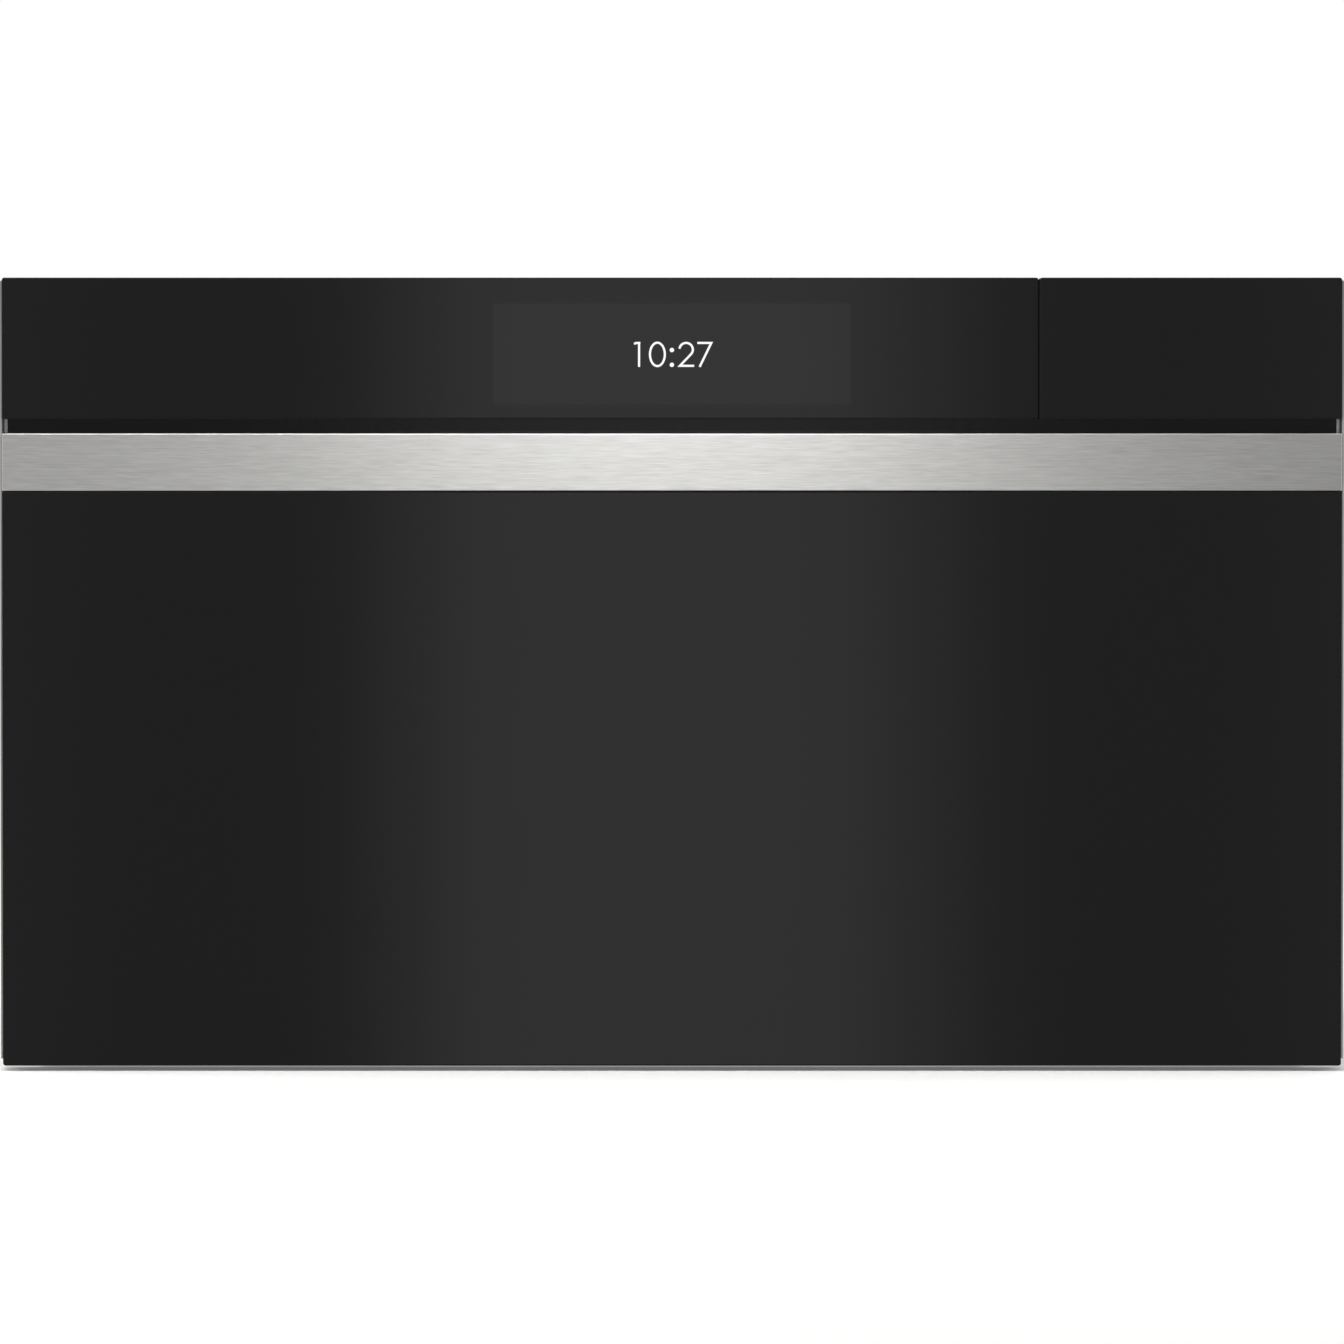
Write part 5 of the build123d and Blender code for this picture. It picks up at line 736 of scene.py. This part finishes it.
# Galvanised sheet: grey zinc crystals about 12 mm across, each catching the light its own way.
galvanised, tree, shader = new_material("steel sheet, hot-dip galvanised", Metallic=1.0)
place = add_node(tree, "ShaderNodeTexCoord").outputs["Object"]
crystal = add_node(tree, "ShaderNodeTexVoronoi", {"Vector": place, "Scale": 85.0, "Randomness": 1.0})
one_grey = add_node(tree, "ShaderNodeSeparateColor", {0: crystal.outputs["Color"]}).outputs[0]
bloom = add_node(tree, "ShaderNodeTexNoise", {"Vector": place, "Scale": 10.0, "Detail": 4.0}).outputs["Fac"]
mixed = add_node(tree, "ShaderNodeMix", {"Factor": 0.55, "A": one_grey, "B": bloom}).outputs[0]
tone = add_node(tree, "ShaderNodeMixRGB", {
    "Fac": mixed, "Color1": linear("95989B"), "Color2": linear("B4B7B9")}).outputs[0]
rough = add_node(tree, "ShaderNodeMapRange", {"Value": mixed, "To Min": 0.36, "To Max": 0.56}).outputs[0]
connect(tree, shader, Base_Color=tone, Roughness=rough)
dress(galvanised, "side_panels", "top_cover", "floor_pan", "machine_shelf", "drawer_bay", "runners",
      "exhaust_duct", "air_duct", "blower_housing")
back = finished_copy("rear_panel", sheet_edge, "rear_panel_pressed", [galvanised])
for corner in back.data.vertices:
    corner.co.y = min(corner.co.y, rear_y)


# Casing screws: pan heads with a six-lobed socket, zinc plated, in rows along the
# edges of the panels.
head_radius = 0.0036
head_height = 0.0016
head_sides = 18
rear_proud = 0.22
along_depth = (-0.232, -0.105, 0.022, 0.150, 0.272)
cover_row_x = 0.351
cover_z = 0.442
cover_back = (0.278, (-0.21, -0.07, 0.07, 0.21))
side_x = 0.360
side_rows_z = (0.014, 0.431)
rear_row_x = 0.350
rear_row_z = (0.018, 0.150, 0.290, 0.428)
rear_middle_x = 0.12
rear_middle_z = (0.012, 0.434)
quarter = math.pi / 2


def turned_head(name, radius, height, segments):
    """One screw head standing on the origin along Z, with a six-lobed socket in its crown."""
    rings = [(1.0, 0.0), (1.0, 0.35), (0.86, 0.82), (0.60, 1.0), (0.42, 1.0), (0.38, 0.35)]
    points, faces = [], []
    for k, (share, rise) in enumerate(rings):
        for i in range(segments):
            turn = 2 * math.pi * i / segments
            reach = radius * share * (1.0 if k < 4 else 1.0 + 0.14 * math.cos(6 * turn))
            points.append((reach * math.cos(turn), reach * math.sin(turn), height * rise))
    for k in range(len(rings) - 1):
        for i in range(segments):
            j = (i + 1) % segments
            low, high = k * segments, (k + 1) * segments
            faces.append((low + i, low + j, high + j, high + i))
    faces.append(tuple(range((len(rings) - 1) * segments, len(rings) * segments)))
    faces.append(tuple(reversed(range(segments))))
    mesh = bpy.data.meshes.new(name)
    mesh.from_pydata(points, [], faces)
    return bpy.data.objects.new(name, mesh)


screw_tree, given = new_tree("screw head on each point", {
    "Head": "Object", "Turn": "Rotation", "Scale": "Vector"})
head_shape = add_node(screw_tree, "GeometryNodeObjectInfo", {"Object": given["Head"]})
heads = add_node(screw_tree, "GeometryNodeInstanceOnPoints", {
    "Points": given["Geometry"], "Instance": head_shape.outputs["Geometry"], "Rotation": given["Turn"],
    "Scale": given["Scale"]})
finish_tree(screw_tree, heads.outputs[0], zinc_plated)
screw_head = turned_head("screw_head", head_radius, head_height, head_sides)
cover_points = [(side * cover_row_x, y, cover_z) for side in (-1, 1) for y in along_depth]
cover_points += [(x, cover_back[0], cover_z) for x in cover_back[1]]
rear_points = [(side * rear_row_x, rear_y, z) for side in (-1, 1) for z in rear_row_z]
rear_points += [(side * rear_middle_x, rear_y, z) for side in (-1, 1) for z in rear_middle_z]
left_points, right_points = [[(side * side_x, y, z) for y in along_depth for z in side_rows_z]
                             for side in (-1, 1)]
for name, points, turn, proud in (
        ("cover_screws", cover_points, (0.0, 0.0, 0.0), 1.0),
        ("left_screws", left_points, (0.0, -quarter, 0.0), 1.0),
        ("right_screws", right_points, (0.0, quarter, 0.0), 1.0),
        ("rear_screws", rear_points, (-quarter, 0.0, 0.0), rear_proud)):
    grow(screw_tree, name, "oven_body", "spring_steel", points,
         Head=screw_head, Turn=turn, Scale=(1.0, 1.0, proud))


# Cable entry: a moulded rubber grommet with a groove round it, snapped into the
# rear panel's hole, whose edge sits in the groove.
entry_x = -0.302
entry_z = 0.3732
grommet_steps = 36
# The grommet's section: radius, and distance out from the panel's outer face.
grommet_profile = [(0.0096, -0.0040), (0.0126, -0.0040), (0.0126, -0.0013), (0.0109, -0.0012), (0.0109, 0.0),
                   (0.0135, 0.0), (0.0133, 0.0003), (0.0100, 0.00035), (0.0096, -0.0004)]
turns = [2 * math.pi * i / grommet_steps for i in range(grommet_steps)]
points = [(entry_x + r * math.cos(turn), rear_y + y, entry_z + r * math.sin(turn))
          for r, y in grommet_profile for turn in turns]
faces = []
for k in range(len(grommet_profile)):
    here = k * grommet_steps
    following = (k + 1) % len(grommet_profile) * grommet_steps
    for i in range(grommet_steps):
        j = (i + 1) % grommet_steps
        faces.append((here + i, here + j, following + j, following + i))
grommet_mesh = bpy.data.meshes.new("cable_grommet")
grommet_mesh.from_pydata(points, [], faces)
turned = bmesh.new()
turned.from_mesh(grommet_mesh)
bmesh.ops.recalc_face_normals(turned, faces=turned.faces)
turned.to_mesh(grommet_mesh)
turned.free()
grommet_mesh.materials.append(silicone)
grommet = show("cable_grommet", grommet_mesh)
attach(grommet, "oven_body")


# Cooling blower wheel: curved blades between discs, moulded in one piece on a shaft
# inside the housing.
# Glass-filled polymer: charcoal, half matt, with pale flecks of fibre 1.4 mm long.
filled_polymer = patterned("polymer, glass filled, moulded", (700.0, 3.0), ("2B2D30", "45484C"), (0.42, 0.62),
                           IOR=1.5)
dress(filled_polymer, "blower_wheel")


# Motors and flap: plated steel cans round laminated cores, each screwed on beside
# what it turns, and a stamped flap on its shaft across the exhaust duct.
# Laminated steel: grey plate with the edges of its stacked laminations, 0.8 mm each.
motor_steel = patterned("steel, plated and laminated", (1.0, 1.0), ("7E8185", "A9ACAF"), (0.32, 0.52),
                        relief=(0.2, 0.0002), stretch=(25.0, 1300.0, 25.0), Metallic=1.0)
dress(motor_steel, "fan_motor", "blower_motor", "flap_motor", "exhaust_flap")


# Water drawer: a black moulded tray on slides behind its pane, and in it a clear
# blow moulded tank with a lid. The fascia's carrier, the valve, latch, pump and
# terminal box are of the tray's plastic.
tank_edge = 0.0006
# Moulded ABS: black, with the 0.6 mm grain of a spark-eroded mould.
grained_plastic, tree, shader = new_material("ABS, black, spark-eroded grain", IOR=1.53)
place = add_node(tree, "ShaderNodeTexCoord").outputs["Object"]
pits = add_node(tree, "ShaderNodeTexVoronoi", {"Vector": place, "Scale": 1700.0}).outputs["Distance"]
patch = add_node(tree, "ShaderNodeTexNoise", {"Vector": place, "Scale": 30.0, "Detail": 3.0}).outputs["Fac"]
tone = add_node(tree, "ShaderNodeMixRGB", {
    "Fac": patch, "Color1": linear("141517"), "Color2": linear("1F2023")}).outputs[0]
rough = add_node(tree, "ShaderNodeMapRange", {"Value": pits, "To Min": 0.40, "To Max": 0.60}).outputs[0]
bump = add_node(tree, "ShaderNodeBump", {"Height": pits, "Strength": 0.2, "Distance": 0.0001}).outputs[0]
connect(tree, shader, Base_Color=tone, Roughness=rough, Normal=bump)
dress(grained_plastic, "control_carrier", "drawer_tray", "dock_valve", "push_latch", "terminal_box",
      "water_pump")

# Copolyester: clear with a cool cast, its walls softly uneven over 36 mm.
clear_plastic = patterned("copolyester, clear, blow moulded", (28.0, 2.0), ("CFDBDE", "E6EEF0"), (0.05, 0.14),
                          relief=(0.1, 0.001), IOR=1.54, Transmission_Weight=0.93)
for node in ("water_tank", "tank_lid"):
    finished_copy(node, tank_edge, node + "_moulded", [clear_plastic])


# Display module and boards: a touch panel bonded to the back of the control pane,
# and green boards on posts, one inside the carrier and one on the machine shelf.
board_edge = 0.0002
board_low_z = 0.3509
board_top_z = 0.3531
chips_behind_y = -0.2687
can_left_x = -0.297
transformer_back_y = 0.105
# Display panel: near-black glass cell with its pixel grid, 0.3 mm each.
display_panel, tree, shader = new_material("display panel, unlit", IOR=1.5)
place = add_node(tree, "ShaderNodeTexCoord").outputs["Object"]
cells = add_node(tree, "ShaderNodeTexChecker", {"Vector": place, "Scale": 3000.0}).outputs["Fac"]
tone = add_node(tree, "ShaderNodeMixRGB", {
    "Fac": cells, "Color1": linear("101113"), "Color2": linear("181A1D")}).outputs[0]
rough = add_node(tree, "ShaderNodeMapRange", {"Value": cells, "To Min": 0.18, "To Max": 0.3}).outputs[0]
connect(tree, shader, Base_Color=tone, Roughness=rough)
dress(display_panel, "display_module")

# Circuit board: green solder mask over copper tracks 1.2 mm apart, with tinned pads.
circuit_board, tree, shader = new_material("circuit board, green solder mask", IOR=1.5)
place = add_node(tree, "ShaderNodeTexCoord").outputs["Object"]
tracks = add_node(tree, "ShaderNodeTexBrick", {
    "Vector": place, "Scale": 420.0, "Mortar Size": 0.12}).outputs["Fac"]
pad = add_node(tree, "ShaderNodeTexVoronoi", {"Vector": place, "Scale": 210.0}).outputs["Distance"]
tinned = add_node(tree, "ShaderNodeMapRange", {"Value": pad, "From Min": 0.20, "From Max": 0.16}).outputs[0]
mask_tone = add_node(tree, "ShaderNodeMixRGB", {
    "Fac": tracks, "Color1": linear("14502F"), "Color2": linear("1F6B40")}).outputs[0]
tone = add_node(tree, "ShaderNodeMixRGB", {
    "Fac": tinned, "Color1": mask_tone, "Color2": linear("B5B8B6")}).outputs[0]
rough = add_node(tree, "ShaderNodeMapRange", {"Value": tracks, "To Min": 0.28, "To Max": 0.4}).outputs[0]
connect(tree, shader, Base_Color=tone, Roughness=rough, Metallic=tinned)

# What stands on the boards: posts of plated steel, a laminated transformer, a sleeved can, relays and chips.
power = finished_copy("power_board", board_edge, "power_board_fitted",
                      [circuit_board, zinc_plated, motor_steel, black_anodised, grained_plastic])
for face in power.data.polygons:
    if face.center.z < board_top_z:
        face.material_index = int(face.center.z < board_low_z)
    elif face.center.x > can_left_x:
        face.material_index = 3
    else:
        face.material_index = 2 if face.center.y < transformer_back_y else 4
control = finished_copy("control_board", board_edge, "control_board_fitted",
                        [circuit_board, grained_plastic])
for face in control.data.polygons:
    face.material_index = int(face.center.y < chips_behind_y)
